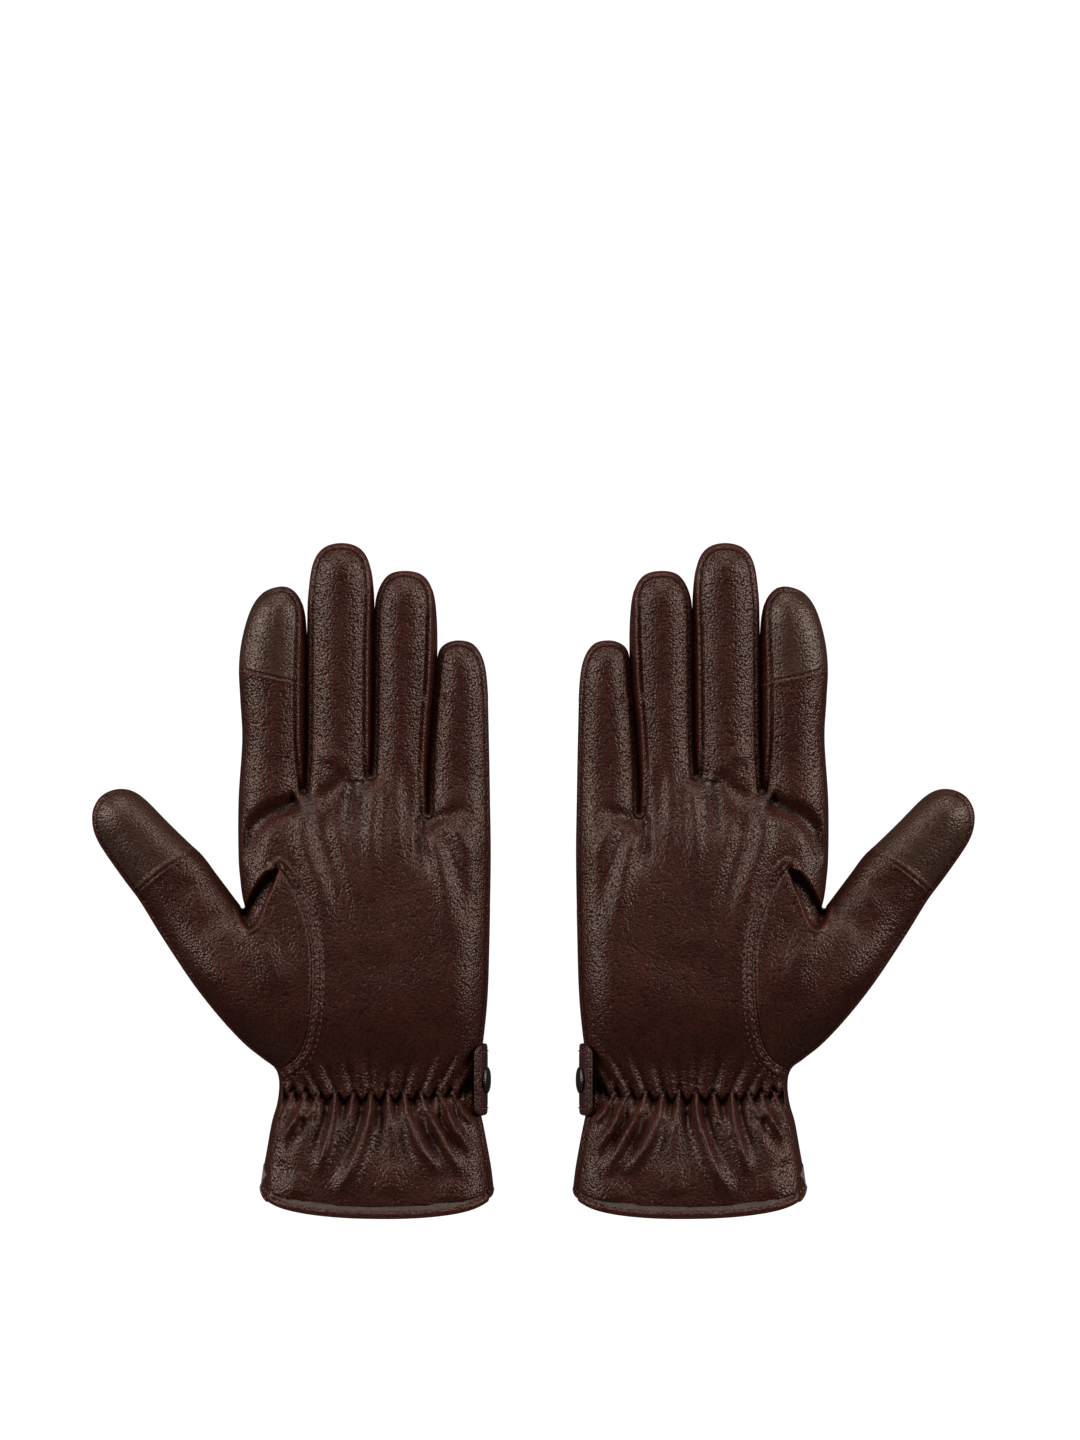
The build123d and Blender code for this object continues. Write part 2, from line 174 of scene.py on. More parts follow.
# Folds in the palm side: points, height (minus for a groove), half width at the first and the last point, and
# how much of its length it takes to rise and to fade
PALM_FOLDS = [
    # creases that run out from the crotches
    ([(23.7, 29.9), (28.8, 27.0), (35.0, 23.9), (39.7, 19.2), (41.9, 13.0), (42.9, 4.7)],
     -4.4, 2.8, 4.2, 0.05, 0.4),
    ([(20.8, 32.0), (21.0, 27.0), (22.0, 21.0)], -1.0, 1.2, 2.2, 0.02, 0.7),
    ([(-22.4, 21.6), (-27.4, 22.8), (-33.9, 25.0), (-41.1, 27.2)], -1.7, 2.0, 3.2, 0.04, 0.5),
    ([(-20.6, 23.4), (-20.4, 17.0), (-20.8, 11.2), (-23.0, -1.4)], -2.8, 1.3, 3.0, 0.02, 0.6),
    ([(0.6, 36.6), (1.2, 28.0), (1.0, 11.2)], -1.3, 1.9, 2.6, 0.02, 0.6),
    ([(4.4, 36.6), (5.6, 24.0), (5.4, 11.0)], -1.1, 1.5, 2.6, 0.03, 0.5),
    ([(5.6, 41.0), (9.6, 35.0), (14.3, 30.4), (17.4, 23.9)], -1.3, 2.0, 3.0, 0.25, 0.4),
    # long soft ridges and hollows over the palm
    ([(19.8, 51.0), (20.1, 36.6), (21.4, 25.7), (22.0, 16.7), (19.4, 6.9), (15.4, -3.3), (12.5, -15.9),
      (11.4, -28.6)],
     2.5, 2.1, 4.4, 0.12, 0.5),
    ([(15.4, 28.0), (14.7, 18.5), (10.7, 4.0), (7.1, -10.5), (5.6, -24.0)], -1.2, 2.6, 4.4, 0.2, 0.5),
    ([(26.4, 10.0), (24.4, 0.0), (20.0, -9.0)], -1.0, 2.6, 2.4, 0.3, 0.4),
    ([(11.0, 50.0), (13.6, 45.4), (16.4, 41.0)], 1.5, 4.0, 4.0, 0.5, 0.5),
    ([(10.3, 26.0), (8.9, 14.9), (4.5, -1.4), (2.4, -17.8)], 1.4, 2.8, 4.5, 0.25, 0.5),
    ([(-3.1, 49.3), (-3.9, 33.0), (-2.6, 18.5), (-3.2, 4.0), (-5.6, -9.0)], 2.0, 1.9, 3.6, 0.1, 0.5),
    ([(-7.4, 36.0), (-7.0, 22.0), (-7.4, 6.0)], -0.7, 2.4, 3.2, 0.2, 0.5),
    ([(-10.2, 42.0), (-10.9, 22.1), (-12.1, 4.0), (-12.6, -10.0)], 1.1, 3.2, 5.0, 0.25, 0.6),
    ([(-14.6, 46.0), (-15.4, 25.7), (-17.2, 7.6), (-18.4, -8.0)], -1.0, 1.7, 3.2, 0.2, 0.6),
    ([(-18.2, 46.0), (-18.6, 29.4), (-18.2, 18.5), (-18.0, 8.0)], 0.9, 1.8, 2.4, 0.2, 0.5),
    ([(-24.4, 19.6), (-27.4, 5.8), (-30.4, -8.7), (-31.4, -24.0)], 1.8, 1.9, 4.0, 0.08, 0.5),
    ([(-27.6, 19.9), (-32.4, 9.1), (-35.2, -3.3), (-36.0, -18.0)], -1.5, 1.5, 3.2, 0.1, 0.5),
    ([(-31.0, 19.9), (-37.6, 12.7), (-42.0, 4.0)], 1.3, 2.0, 2.8, 0.15, 0.5),
    # the wide flat hollow of the palm, and the root of the thumb
    ([(-2.0, -20.0), (-8.0, -44.0)], -1.0, 14.0, 14.0, 0.5, 0.5),
    ([(33.0, -10.0), (29.0, -22.0), (26.0, -34.0)], -1.0, 2.8, 4.0, 0.3, 0.5),
    ([(38.0, -20.0), (34.0, -30.0), (31.0, -44.0)], 1.3, 3.4, 4.6, 0.3, 0.5),
    ([(47.0, -15.0), (45.0, -28.0), (38.0, -44.0)], -0.8, 4.0, 5.0, 0.3, 0.5),
    ([(50.0, -9.0), (56.0, -16.0), (60.0, -24.0)], -0.9, 2.6, 3.0, 0.3, 0.5),
    ([(56.0, -2.0), (62.0, -9.0), (67.0, -16.0)], 0.7, 3.0, 3.4, 0.3, 0.4),
    ([(61.0, 2.0), (68.0, -6.0)], -0.6, 2.4, 2.8, 0.4, 0.5),
]
# The gathers below the shirring: ridges that start as pointed claws and fan out towards the hem, and hollows
CUFF_FOLDS = [
    ([(25.4, -75.2), (28.4, -82.0), (31.0, -88.0)], 2.4, 0.8, 1.7, 0.1, 0.5),
    ([(20.8, -75.4), (23.4, -83.0), (27.0, -89.5), (30.6, -95.0)], 2.8, 0.8, 2.1, 0.08, 0.5),
    ([(16.1, -75.0), (18.3, -81.2), (21.6, -88.4)], 2.8, 0.8, 1.8, 0.1, 0.5),
    ([(10.3, -74.8), (11.1, -83.0), (13.2, -93.9), (16.9, -107.5)], 3.2, 0.9, 2.6, 0.05, 0.4),
    ([(3.6, -75.6), (5.3, -83.0), (7.6, -90.2)], 2.8, 0.9, 1.8, 0.1, 0.5),
    ([(-2.4, -75.0), (-2.0, -83.0), (0.9, -93.9), (6.0, -106.5), (12.5, -114.4)], 3.4, 1.0, 3.4, 0.05, 0.35),
    ([(-8.3, -74.8), (-9.8, -83.0), (-11.4, -92.0)], 2.6, 0.9, 2.2, 0.1, 0.5),
    ([(-14.0, -75.0), (-16.5, -84.8), (-20.1, -93.9), (-24.5, -101.1), (-27.4, -107.0)],
     3.3, 0.9, 2.9, 0.05, 0.35),
    ([(-20.1, -74.8), (-23.0, -83.0), (-27.4, -90.2), (-32.8, -101.1), (-35.6, -107.0)],
     2.9, 0.9, 2.4, 0.05, 0.4),
    ([(-25.9, -74.5), (-30.3, -83.0), (-35.3, -92.0), (-40.4, -99.3)], 2.9, 0.9, 2.1, 0.07, 0.4),
    ([(-31.0, -75.2), (-35.3, -82.3), (-41.1, -89.5)], 2.4, 0.8, 1.7, 0.1, 0.5),
    ([(13.2, -82.0), (16.0, -92.0), (20.6, -103.0)], -1.5, 1.2, 2.9, 0.15, 0.5),
    ([(0.8, -82.0), (3.4, -93.0), (8.4, -104.0)], -1.6, 1.3, 2.8, 0.15, 0.5),
    ([(-5.4, -82.0), (-5.0, -94.0), (-3.0, -106.0)], -1.4, 1.3, 4.4, 0.15, 0.5),
    ([(-12.8, -84.0), (-15.2, -96.0), (-18.4, -107.0)], -1.2, 1.5, 3.2, 0.15, 0.5),
    ([(-19.0, -82.0), (-23.6, -91.5), (-29.4, -103.0)], -1.6, 1.1, 2.6, 0.15, 0.5),
    ([(-26.0, -83.0), (-31.2, -92.0), (-37.0, -101.5)], -1.5, 1.1, 2.0, 0.15, 0.5),
    ([(20.0, -84.0), (24.6, -92.0), (29.0, -101.0)], -1.2, 1.2, 2.6, 0.15, 0.5),
    ([(27.0, -108.0), (31.0, -99.0)], -0.9, 3.0, 2.4, 0.4, 0.4),
    ([(-11.0, -99.0), (-9.6, -114.0)], 0.9, 3.6, 5.0, 0.4, 0.3),
    ([(-32.0, -106.0), (-31.0, -116.0)], 0.8, 3.4, 4.2, 0.4, 0.3),
    ([(22.6, -103.0), (24.0, -114.0)], 0.7, 3.0, 4.2, 0.4, 0.3),
]
# Where the shirring pinches the leather: the gathers stand on this line, which bows up at both sides
SHIRR_Y, SHIRR_BOW, SHIRR_HALF = -76.4, 2.6, 37.0
SCALLOP = 3.6              # how far the leather above the shirring hangs down between two gathers
EDGE_CURL, CURL_WIDTH = 3.0, 5.0       # how deep and over what width the hanging edge curls in
SHIRR_DEPTH, SHIRR_RISE = 4.4, 13.0    # how deep the leather below it starts, and where it is level again
GATHER_X = [30.4, 25.4, 20.8, 16.1, 10.3, 3.6, -2.4, -8.3, -14.0, -20.1, -25.9, -31.0, -36.0]
GATHER_CENTRE = -4.0

# ---- Curves


def spline(points, step):
    """A smooth curve through the points, at even steps along it: an array with a row for each step."""
    p = np.array(points, float)
    p = np.vstack([2 * p[0] - p[1], p, 2 * p[-1] - p[-2]])
    fine = []
    for a, b, c, d in zip(p, p[1:], p[2:], p[3:]):
        t = np.linspace(0, 1, 25)[:-1, None]
        bend, twist = 2 * a - 5 * b + 4 * c - d, 3 * b - a - 3 * c + d
        fine.append(0.5 * (2 * b + (c - a) * t + bend * t**2 + twist * t**3))
    fine = np.vstack(fine + [p[-2][None]])
    along = np.concatenate([[0], np.cumsum(np.linalg.norm(np.diff(fine[:, :2], axis=0), axis=1))])
    count = max(2, round(along[-1] / step) + 1)
    at = np.linspace(0, along[-1], count)
    return np.column_stack([np.interp(at, along, fine[:, k]) for k in range(fine.shape[1])])


def right_of(curve):
    """The unit normals on the right of a curve's direction."""
    d = np.gradient(curve[:, :2], axis=0)
    d /= np.linalg.norm(d, axis=1)[:, None] + 1e-12
    return np.column_stack([d[:, 1], -d[:, 0]])


def smooth(t):
    t = np.clip(t, 0, 1)
    return t * t * (3 - 2 * t)


def hump(gap, width):
    """A bell curve over the gap from a line: 1 on the line, about a third at the width."""
    return np.exp(-((gap / width) ** 2))


def hem_y(x):
    """The hem's curve over x."""
    (x0, y0), (x1, y1) = HEM_CORNERS
    t = np.clip((np.asarray(x, float) - x0) / (x1 - x0), 0, 1)
    bow = np.clip(1 - np.abs(2 * t - 1) ** HEM_POWER, 0, 1) ** (1 / HEM_POWER)
    return y0 + (y1 - y0) * t - HEM_SAG * bow


def make_outline():
    """The outline's points, the inward normal at each, and each point's inset and seam strength."""
    rows, normals = [], []
    for number, leg in enumerate(LEGS):
        curve = spline(leg, OUTLINE_STEP)
        rows.append(curve)
        normals.append(right_of(curve))
        if number + 1 < len(LEGS):
            end, start = curve[-1], spline(LEGS[number + 1], OUTLINE_STEP)[0]
            centre, radius = (end[:2] + start[:2]) / 2, np.linalg.norm(start[:2] - end[:2]) / 2
            first = np.arctan2(*(end[:2] - centre)[::-1])
            turn = first + np.linspace(0, pi, CROTCH_STEPS + 2)[1:-1]
            out = np.column_stack([np.cos(turn), np.sin(turn)])
            mix = np.linspace(0, 1, CROTCH_STEPS + 2)[1:-1, None]
            rows.append(np.column_stack([centre + radius * out, end[2:] * (1 - mix) + start[2:] * mix]))
            normals.append(out)
    rows, normals = np.vstack(rows), np.vstack(normals)
    return rows[:, :2], normals, rows[:, 2], rows[:, 3]


class Nearest:
    """Finds the distance from points to a polyline, and the place on it."""

    def __init__(self, line):
        self.line = np.asarray(line, float)[:, :2]
        self.tree = KDTree(len(self.line))
        for i, (x, y) in enumerate(self.line):
            self.tree.insert((x, y, 0), i)
        self.tree.balance()

    def __call__(self, points):
        """Distance and position along the line in steps, for each point."""
        index = np.array([self.tree.find((x, y, 0))[1] for x, y in points[:, :2]], int)
        best, place = np.full(len(points), 1e9), index.astype(float)
        for shift in (-1, 0):
            a = np.clip(index + shift, 0, len(self.line) - 2)
            p, q = self.line[a], self.line[a + 1]
            d = q - p
            t = np.clip(((points[:, :2] - p) * d).sum(1) / ((d * d).sum(1) + 1e-12), 0, 1)
            gap = np.linalg.norm(points[:, :2] - p - d * t[:, None], axis=1)
            closer = gap < best
            best[closer], place[closer] = gap[closer], (a + t)[closer]
        return best, place


def inside(points, polygon):
    """Which points lie inside a closed polygon."""
    x, y = points[:, 0], points[:, 1]
    result = np.zeros(len(points), bool)
    px, py = np.asarray(polygon)[:, 0], np.asarray(polygon)[:, 1]
    for x0, y0, x1, y1 in zip(px, py, np.roll(px, -1), np.roll(py, -1)):
        if y0 != y1:
            result ^= ((y0 > y) != (y1 > y)) & (x < (x1 - x0) * (y - y0) / (y1 - y0) + x0)
    return result


# ---- The height of the skin

outline, inward, inset, strength = make_outline()
tail = np.array([[0, -26.0]])
to_outline = Nearest(np.vstack([outline[:1] + tail, outline, outline[-1:] + tail]))
thumb_seam = spline(THUMB_SEAM, 1.0)
turned_edge = spline(TURNED_EDGE, 0.8)
back_thumb_seam = spline(BACK_THUMB_SEAM, 1.0)
to_thumb_seam, to_turned_edge = Nearest(thumb_seam), Nearest(turned_edge)
to_back_thumb_seam = Nearest(back_thumb_seam)
thumb_patch_seam, index_patch_seam = spline(THUMB_PATCH_SEAM, 0.9), spline(INDEX_PATCH_SEAM, 0.9)
to_thumb_patch, to_index_patch = Nearest(thumb_patch_seam), Nearest(index_patch_seam)
slit_edge = spline(SLIT_EDGE, 0.8)
to_slit_edge = Nearest(slit_edge)
SLIT = np.vstack([turned_edge[:, :2], slit_edge[::-1, :2]])
THUMB_ROOT = np.vstack([turned_edge[:, :2], thumb_seam[:, :2], [(60.0, -68.6), (120.0, -20.0), (70.0, 30.0)]])


def outline_index(point):
    return int(np.argmin(np.linalg.norm(outline - np.array(point), axis=1)))


def thumb_share(points):
    """How much a point belongs to the thumb's tube, from 0 at its seams in the palm to 1 along the thumb."""
    along = (points[:, 0] - THUMB_ROOT_X) * THUMB_AXIS[0] + (points[:, 1] - THUMB_ROOT_Y) * THUMB_AXIS[1]
    return smooth((along + 14) / 34) * smooth((points[:, 0] - 34) / 14) * thumb_side(points)


def thumb_side(points):
    """1 for what lies on the thumb's side of the web between the thumb and the index finger."""
    across = (points[:, 0] - WEB[0]) * WEB_ACROSS[0] - (points[:, 1] - WEB[1]) * WEB_ACROSS[1]
    return smooth((across + 3.5) / 3.5)


def soft_heights():
    """The table of heights at every half millimetre of y, with its corners rounded."""
    table = np.array(HEIGHTS, float)
    y = np.arange(table[0, 0], table[-1, 0] + 0.5, 0.5)
    reach = np.arange(-24, 25) * 0.5
    weight = hump(reach, HEIGHT_SOFTNESS)
    columns = [y]
    for column in table.T[1:]:
        spread = np.array([np.interp(y + step, table[:, 0], column) for step in reach])
        columns.append((spread * weight[:, None]).sum(0) / weight.sum())
    return columns


HEIGHT_Y, TOP_Z, LOW_Z, EDGE_R = soft_heights()


def base_fields(points):
    """The top, the lowest line and the rounding width under and over each point."""
    x, y = points[:, 0], points[:, 1]
    share = thumb_share(points)
    fingers = smooth((y - FINGERS_START) / (FINGERS_FULL - FINGERS_START)) * (1 - share)
    top = np.interp(y, HEIGHT_Y, TOP_Z) * (1 - fingers) + np.interp(x, FINGER_X, FINGER_TOP) * fingers
    radius = np.interp(y, HEIGHT_Y, EDGE_R) * (1 - fingers) + np.interp(x, FINGER_X, FINGER_R) * fingers
    low = np.interp(y, HEIGHT_Y, LOW_Z)
    top = top * (1 - share) + THUMB_TOP * share
    low = low * (1 - share) + THUMB_LOW * share
    radius = radius * (1 - share) + THUMB_R * share
    return top, low, radius


def fold_height(points, folds, softness=1.0):
    """The sum of the folds at each point. A softness above 1 makes them wider and lower."""
    total = np.zeros(len(points))
    for path, height, start, end, rise, fade in folds:
        line = spline(path, 1.0)
        reach = 3.2 * max(start, end) * softness
        low, high = line.min(0) - reach, line.max(0) + reach
        near = np.flatnonzero(((points[:, :2] > low) & (points[:, :2] < high)).all(1))
        if len(near):
            gap, place = Nearest(line)(points[near])
            t = place / (len(line) - 1)
            width = (start + (end - start) * t) * softness
            total[near] += height / softness**2 * smooth(t / rise) * smooth((1 - t) / fade) * hump(gap, width)
    return total


def shirr_line(x):
    return SHIRR_Y + SHIRR_BOW * (np.abs(np.asarray(x) - GATHER_CENTRE) / SHIRR_HALF) ** 3


def make_gathers():
    """The soft folds that fan out above the shirring, each from one of the pinched places."""
    rng = random.Random(7)
    folds = []
    for x in GATHER_X[1:-1]:
        y = float(shirr_line(x)) - 0.6
        lean = (x - GATHER_CENTRE) / 40
        reach = rng.uniform(12, 24) * (1 + 0.5 * abs(lean))
        path = [(x, y), (x + lean * 0.45 * reach, y + 0.5 * reach), (x + lean * 1.05 * reach, y + reach)]
        folds.append((path, -rng.uniform(1.1, 1.6), 1.1, 2.8, 0.2, 0.7))
        middle = x - rng.uniform(2.4, 3.2)
        path = [(middle, y + 1.0), (middle + lean * 0.5 * reach, y + 0.5 * reach)]
        path.append((middle + lean * reach, y + 0.9 * reach))
        folds.append((path, rng.uniform(0.5, 0.9), 1.8, 3.2, 0.3, 0.6))
    return folds


GATHERS = make_gathers()


def scallops(x):
    """How far the hanging edge is down over x, from 0 at each pinched place to 1 between two of them."""
    place = np.interp(-x, [-g for g in GATHER_X], np.arange(len(GATHER_X)))
    return np.sin(pi * place) ** 2


def shirr_gap(points):
    """How far each point lies above the hanging edge."""
    return points[:, 1] - (shirr_line(points[:, 0]) + 0.6 - SCALLOP * scallops(points[:, 0]))


def shirring(points):
    """The pinched line across the wrist, which the leather above it overhangs in scallops."""
    hang, gap = scallops(points[:, 0]), shirr_gap(points)
    above = -EDGE_CURL * (1 - np.sqrt(1 - (1 - np.clip(gap / CURL_WIDTH, 0, 1)) ** 2))
    below = -SHIRR_DEPTH + SHIRR_DEPTH * smooth(-gap / SHIRR_RISE)
    return np.where(gap > 0, above, below) * (0.75 + 0.25 * hang)


def ripple(points, scale, seed):
    """Smooth noise between about -1 and 1."""
    return np.array([noise.noise(Vector((x / scale, y / scale, seed))) for x, y in points[:, :2]])


def groove(gap, depth, width, roll):
    """A seam's section: the leather dips into it and rolls up beside it."""
    return -depth * hump(gap, width) + roll * hump(gap - 2.1 * width, 1.3 * width)


def seam_press(gap):
    """How far a seam along the outline draws the leather in, with a slight roll beside it."""
    return 1.15 * hump(gap, 0.4) - 0.22 * hump(gap - 1.1, 0.6)


def seam_dye(gap):
    """How red the dyed edge is beside a seam."""
    return 0.8 * hump(gap - 0.9, 0.6)


def painted_seam_shade(gap):
    """How much shade is painted into the line of the seam itself: the dark of its groove, laid into the
    colour.
    """
    return 1.3 * hump(gap, 0.42)


def skin_height(points, front):
    """The height of the palm side or the back over each point, its dye and painted shade (above 0 red dye,
    below 0 shade painted dark into seams, stitch grooves and hollows), and how far the seams along the
    outline press it in."""
    distance, place = to_outline(points)
    place = np.clip(place - 1, 0, len(outline) - 1)
    steps = np.arange(len(outline))
    edge_inset = np.interp(place, steps, inset) if front else np.full(len(points), BACK_INSET)
    seam = np.interp(place, steps, strength)
    top, low, radius = base_fields(points)
    middle = low + EDGE_LEVEL * (top - low)
    power = EDGE_POWER if front else BACK_POWER
    rise = (1 - (1 - np.clip(distance / radius, 0, 1)) ** power) ** (1 / power)
    gap = np.abs(distance - edge_inset)
    # the seam's line is painted dark, as the shade of its groove; beside it the edge is dyed red
    dye_and_painted_shade = seam * (seam_dye(gap) * (distance < edge_inset) - painted_seam_shade(gap))
    press = seam * seam_press(gap)
    cut = np.zeros(len(points))
    if not front:
        gap_back = to_back_thumb_seam(points)[0]
        cut = cut + groove(gap_back, 0.45, 0.42, 0.25)
        dye_and_painted_shade = np.maximum(dye_and_painted_shade, hump(gap_back, 0.9))
        soft = 0.35 * ripple(points, 14, 3.0) * np.clip(distance / 4, 0, 1)
        z = middle - (middle - low) * rise - cut * 0.8
        return np.maximum(z, low + 0.02) + np.clip(soft, 0, 1) * 0.6, dye_and_painted_shade, press
    z = middle + (top - middle) * rise
    calm = smooth((distance - 0.5) / 3.5)
    z += (fold_height(points, PALM_FOLDS[:7]) + fold_height(points, PALM_FOLDS[7:], 1.2) * 1.15) * calm
    z += fold_height(points, GATHERS, 1.05) * calm
    z += fold_height(points, CUFF_FOLDS) * 1.15 * calm * smooth(0.5 - shirr_gap(points) / 1.2)
    z += (0.3 * ripple(points, 17, 1.0) + 0.06 * ripple(points, 7, 2.0)) * calm
    # the thumb's seams, the patches, the shirring and the turned hem
    for finder, depth, roll, tint in (
        (to_thumb_seam, 0.6, 0.1, 0.55), (to_thumb_patch, 0.35, 0.5, 0.6), (to_index_patch, 0.3, 0.2, 0.5),
    ):
        gap = finder(points)[0]
        cut = cut + groove(gap, depth, 0.45, roll)
        # the line of each seam is painted dark, as the shade of its groove; the red beside it is dye
        dye_and_painted_shade = np.maximum(dye_and_painted_shade, tint * hump(gap, 0.9)) - 0.9 * hump(gap, 0.36)
    # the slit in the web of the thumb: it drops between its lips, and each lip is rolled
    gap, _ = to_turned_edge(points)
    slit = inside(points, SLIT)
    lip = to_slit_edge(points)[0]
    cut = cut - 5.0 * smooth(np.minimum(gap / 0.8, lip / 1.6)) * slit
    cut = cut + 0.9 * hump(gap - 0.7, 0.75) * ~slit + 0.35 * hump(lip - 0.4, 0.5) * ~slit
    dye_and_painted_shade = np.maximum(dye_and_painted_shade, 0.5 * hump(gap, 1.0))
    dye_and_painted_shade = np.maximum(dye_and_painted_shade, 0.4 * hump(lip, 0.6))
    # the welt between the two rows of stitches outside the thumb's seam
    gap = to_thumb_seam(points)[0]
    outside = ~inside(points, THUMB_ROOT)
    cut = cut + 0.75 * hump(gap - 3.0, 0.95) * outside
    for row in THUMB_ROWS:
        cut = cut - 0.35 * hump(gap - row, 0.5) * outside
        # the rows of stitches are painted dark, as the shade in their holes and grooves
        dye_and_painted_shade = dye_and_painted_shade - 0.8 * hump(gap - row, 0.4) * outside
    here = smooth((distance - 0.3) / 3.0)
    cut = cut + shirring(points) * here
    above = points[:, 1] > shirr_line(points[:, 0]) - SCALLOP
    # painted shade: the cuff below -80 mm a little, and the wrist above the shirring, which faces away from
    # the lights, more
    dye_and_painted_shade = dye_and_painted_shade - 0.16 * smooth((-80 - points[:, 1]) / 6.0)
    dye_and_painted_shade = dye_and_painted_shade - 0.5 * above * smooth((-42 - points[:, 1]) / 26.0) * smooth(distance / 9.0)
    hem = points[:, 1] - hem_y(points[:, 0])
    roll = np.sqrt(np.clip(1 - ((hem - 1.3) / 1.45) ** 2, 0, 1))
    cut = cut + 0.9 * roll - 0.8 * hump(hem - HEM_STITCH, 0.55)
    # the hem's edge is dyed red, and the line of its stitches is painted dark, as the shade of their groove
    dye_and_painted_shade = np.maximum(dye_and_painted_shade, 0.8 * hump(hem, 1.2)) - hump(hem - HEM_STITCH, 0.4)
    return z + cut, dye_and_painted_shade, press


# ---- The welded skin

FRONT_GRID, BACK_GRID = 0.85, 1.9      # spacing of the triangles
SHIRR_GRID = 0.5           # and near the shirring
RINGS = (0.28, 0.6, 1.0, 1.5)          # rows of points beside a seam
SEAM_CLEAR = 2.0
SEAM_REACH, SAME_POINT = 2.5, 0.12     # within these a seam joins the rim, and two points are one
# Where the rows of the band between the front and the back seam lie; they are close together by the front one
BAND_ROWS = (0.0, 0.03, 0.065, 0.105, 0.15, 0.2, 0.26, 0.33, 0.41, 0.5, 0.6, 0.7, 0.8, 0.9, 1.0)
BAND_STEPS = len(BAND_ROWS) - 1
SIDE_BULGE = 0.12          # the fingers' sides swell until they touch
HEM_STEP = 1.0
HEM_ROWS, HEM_PULL = 40, 9.0           # how many points, and how high up, the hem pulls on the outline


def hem_run(start, end, drop):
    """Points along the hem from one x to another, lower by the drop in its middle."""
    count = max(3, round(abs(end - start) / HEM_STEP))
    t = np.linspace(0, 1, count + 1)[1:-1]
    x = (start + end) / 2 - (end - start) / 2 * np.cos(pi * t)
    return np.column_stack([x, hem_y(x) - drop * np.sin(pi * t)])


def snapped(line, rim):
    """A seam whose two ends are moved onto points of the rim where they lie close to it."""
    line = line[:, :2].copy()
    for end in (0, -1):
        gaps = np.linalg.norm(rim - line[end], axis=1)
        if gaps.min() < SEAM_REACH:
            line[end] = rim[np.argmin(gaps)]
    return line


def straight(a, b, step):
    count = max(2, round(np.linalg.norm(np.array(b) - a) / step) + 1)
    t = np.linspace(0, 1, count)[:, None]
    return np.array(a) * (1 - t) + np.array(b) * t


def hex_lattice(low, high, grid):
    """Evenly spaced points over a rectangle, every second row moved by half a step."""
    rows = []
    for n, y in enumerate(np.arange(low[1], high[1], grid * 0.87)):
        x = np.arange(low[0] + (n % 2) * grid / 2, high[0], grid)
        rows.append(np.column_stack([x, np.full(len(x), y)]))
    return np.vstack(rows)


def triangulate(rim, seams, lines, grid):
    """Triangles over the area inside the rim, with edges along every seam and line."""
    points, edges = [tuple(p) for p in rim], [(i, (i + 1) % len(rim)) for i in range(len(rim))]
    for line in seams + lines:
        ids = []
        for p in line:
            gaps = np.linalg.norm(np.array(points) - p, axis=1)
            if gaps.min() < SAME_POINT:
                ids.append(int(np.argmin(gaps)))
            else:
                ids.append(len(points))
                points.append(tuple(p))
        edges += [(a, b) for a, b in zip(ids, ids[1:]) if a != b]
    finders = [Nearest(np.vstack([rim, rim[:1]]))] + [Nearest(line) for line in seams]
    extra = []
    for line, closed in [(rim, True)] + [(line, False) for line in seams]:
        normal = right_of(np.vstack([line[-1:], line, line[:1]]))[1:-1] if closed else right_of(line)
        for ring in RINGS:
            for sign in (1,) if closed else (1, -1):
                extra.append(line + normal * ring * sign)
    for line in lines:
        normal = right_of(line)
        extra += [line + normal * grid * 0.8, line - normal * grid * 0.8]
    extra = np.vstack(extra)
    ring_gap = np.concatenate(
        [np.full(len(rim), r) for r in RINGS]
        + [np.full(len(line), r) for line in seams for r in RINGS for _ in (1, -1)]
        + [np.full(len(line), grid * 0.8) for line in lines for _ in (1, -1)]
    )
    gap = np.min([f(extra)[0] for f in finders], axis=0)
    keep = (gap > 0.9 * np.minimum(ring_gap, 0.8 * grid)) & inside(extra, rim)
    extra = extra[keep]
    low, high = rim.min(0), rim.max(0)
    lattice = hex_lattice(low, high, grid)
    if grid == FRONT_GRID:
        fine = hex_lattice(np.array([low[0], SHIRR_Y - 12]), np.array([high[0], SHIRR_Y + 9]), SHIRR_GRID)
        lattice = lattice[(lattice[:, 1] < fine[0, 1] - 0.4) | (lattice[:, 1] > fine[-1, 1] + 0.4)]
        lattice = np.vstack([lattice, fine])
    lattice = lattice[inside(lattice, rim)]
    gap = np.min([f(lattice)[0] for f in finders], axis=0)
    lattice = lattice[gap > SEAM_CLEAR]
    if lines:
        gap = np.min([Nearest(line)(lattice)[0] for line in lines], axis=0)
        lattice = lattice[gap > grid * 1.2]
    everything = np.vstack([np.array(points), extra, lattice])
    out, _, faces, origins, _, _ = delaunay_2d_cdt([Vector(p) for p in everything], edges, [], 0, 1e-5, True)
    out = np.array([(p.x, p.y) for p in out])
    faces = np.array([f for f in faces if len(f) == 3], int)
    faces = faces[inside(out[faces].mean(1), rim)]
    turned = np.cross(out[faces[:, 1]] - out[faces[:, 0]], out[faces[:, 2]] - out[faces[:, 0]]) < 0
    faces[turned] = faces[turned][:, ::-1]
    where = {}
    for i, sources in enumerate(origins):
        for source in sources:
            where[source] = i
    return out, faces, [where[i] for i in range(len(rim))]


def pull_to_hem(points):
    """Rows of points along the outline, with their two ends moved onto the hem's curve."""
    points = points.copy()
    for (_, y), ends in zip(HEM_CORNERS, (slice(0, HEM_ROWS), slice(-HEM_ROWS, None))):
        share = smooth(1 - (points[ends, 1] - y) / HEM_PULL)
        points[ends, 1] += (hem_y(points[ends, 0]) - y) * share
    return points


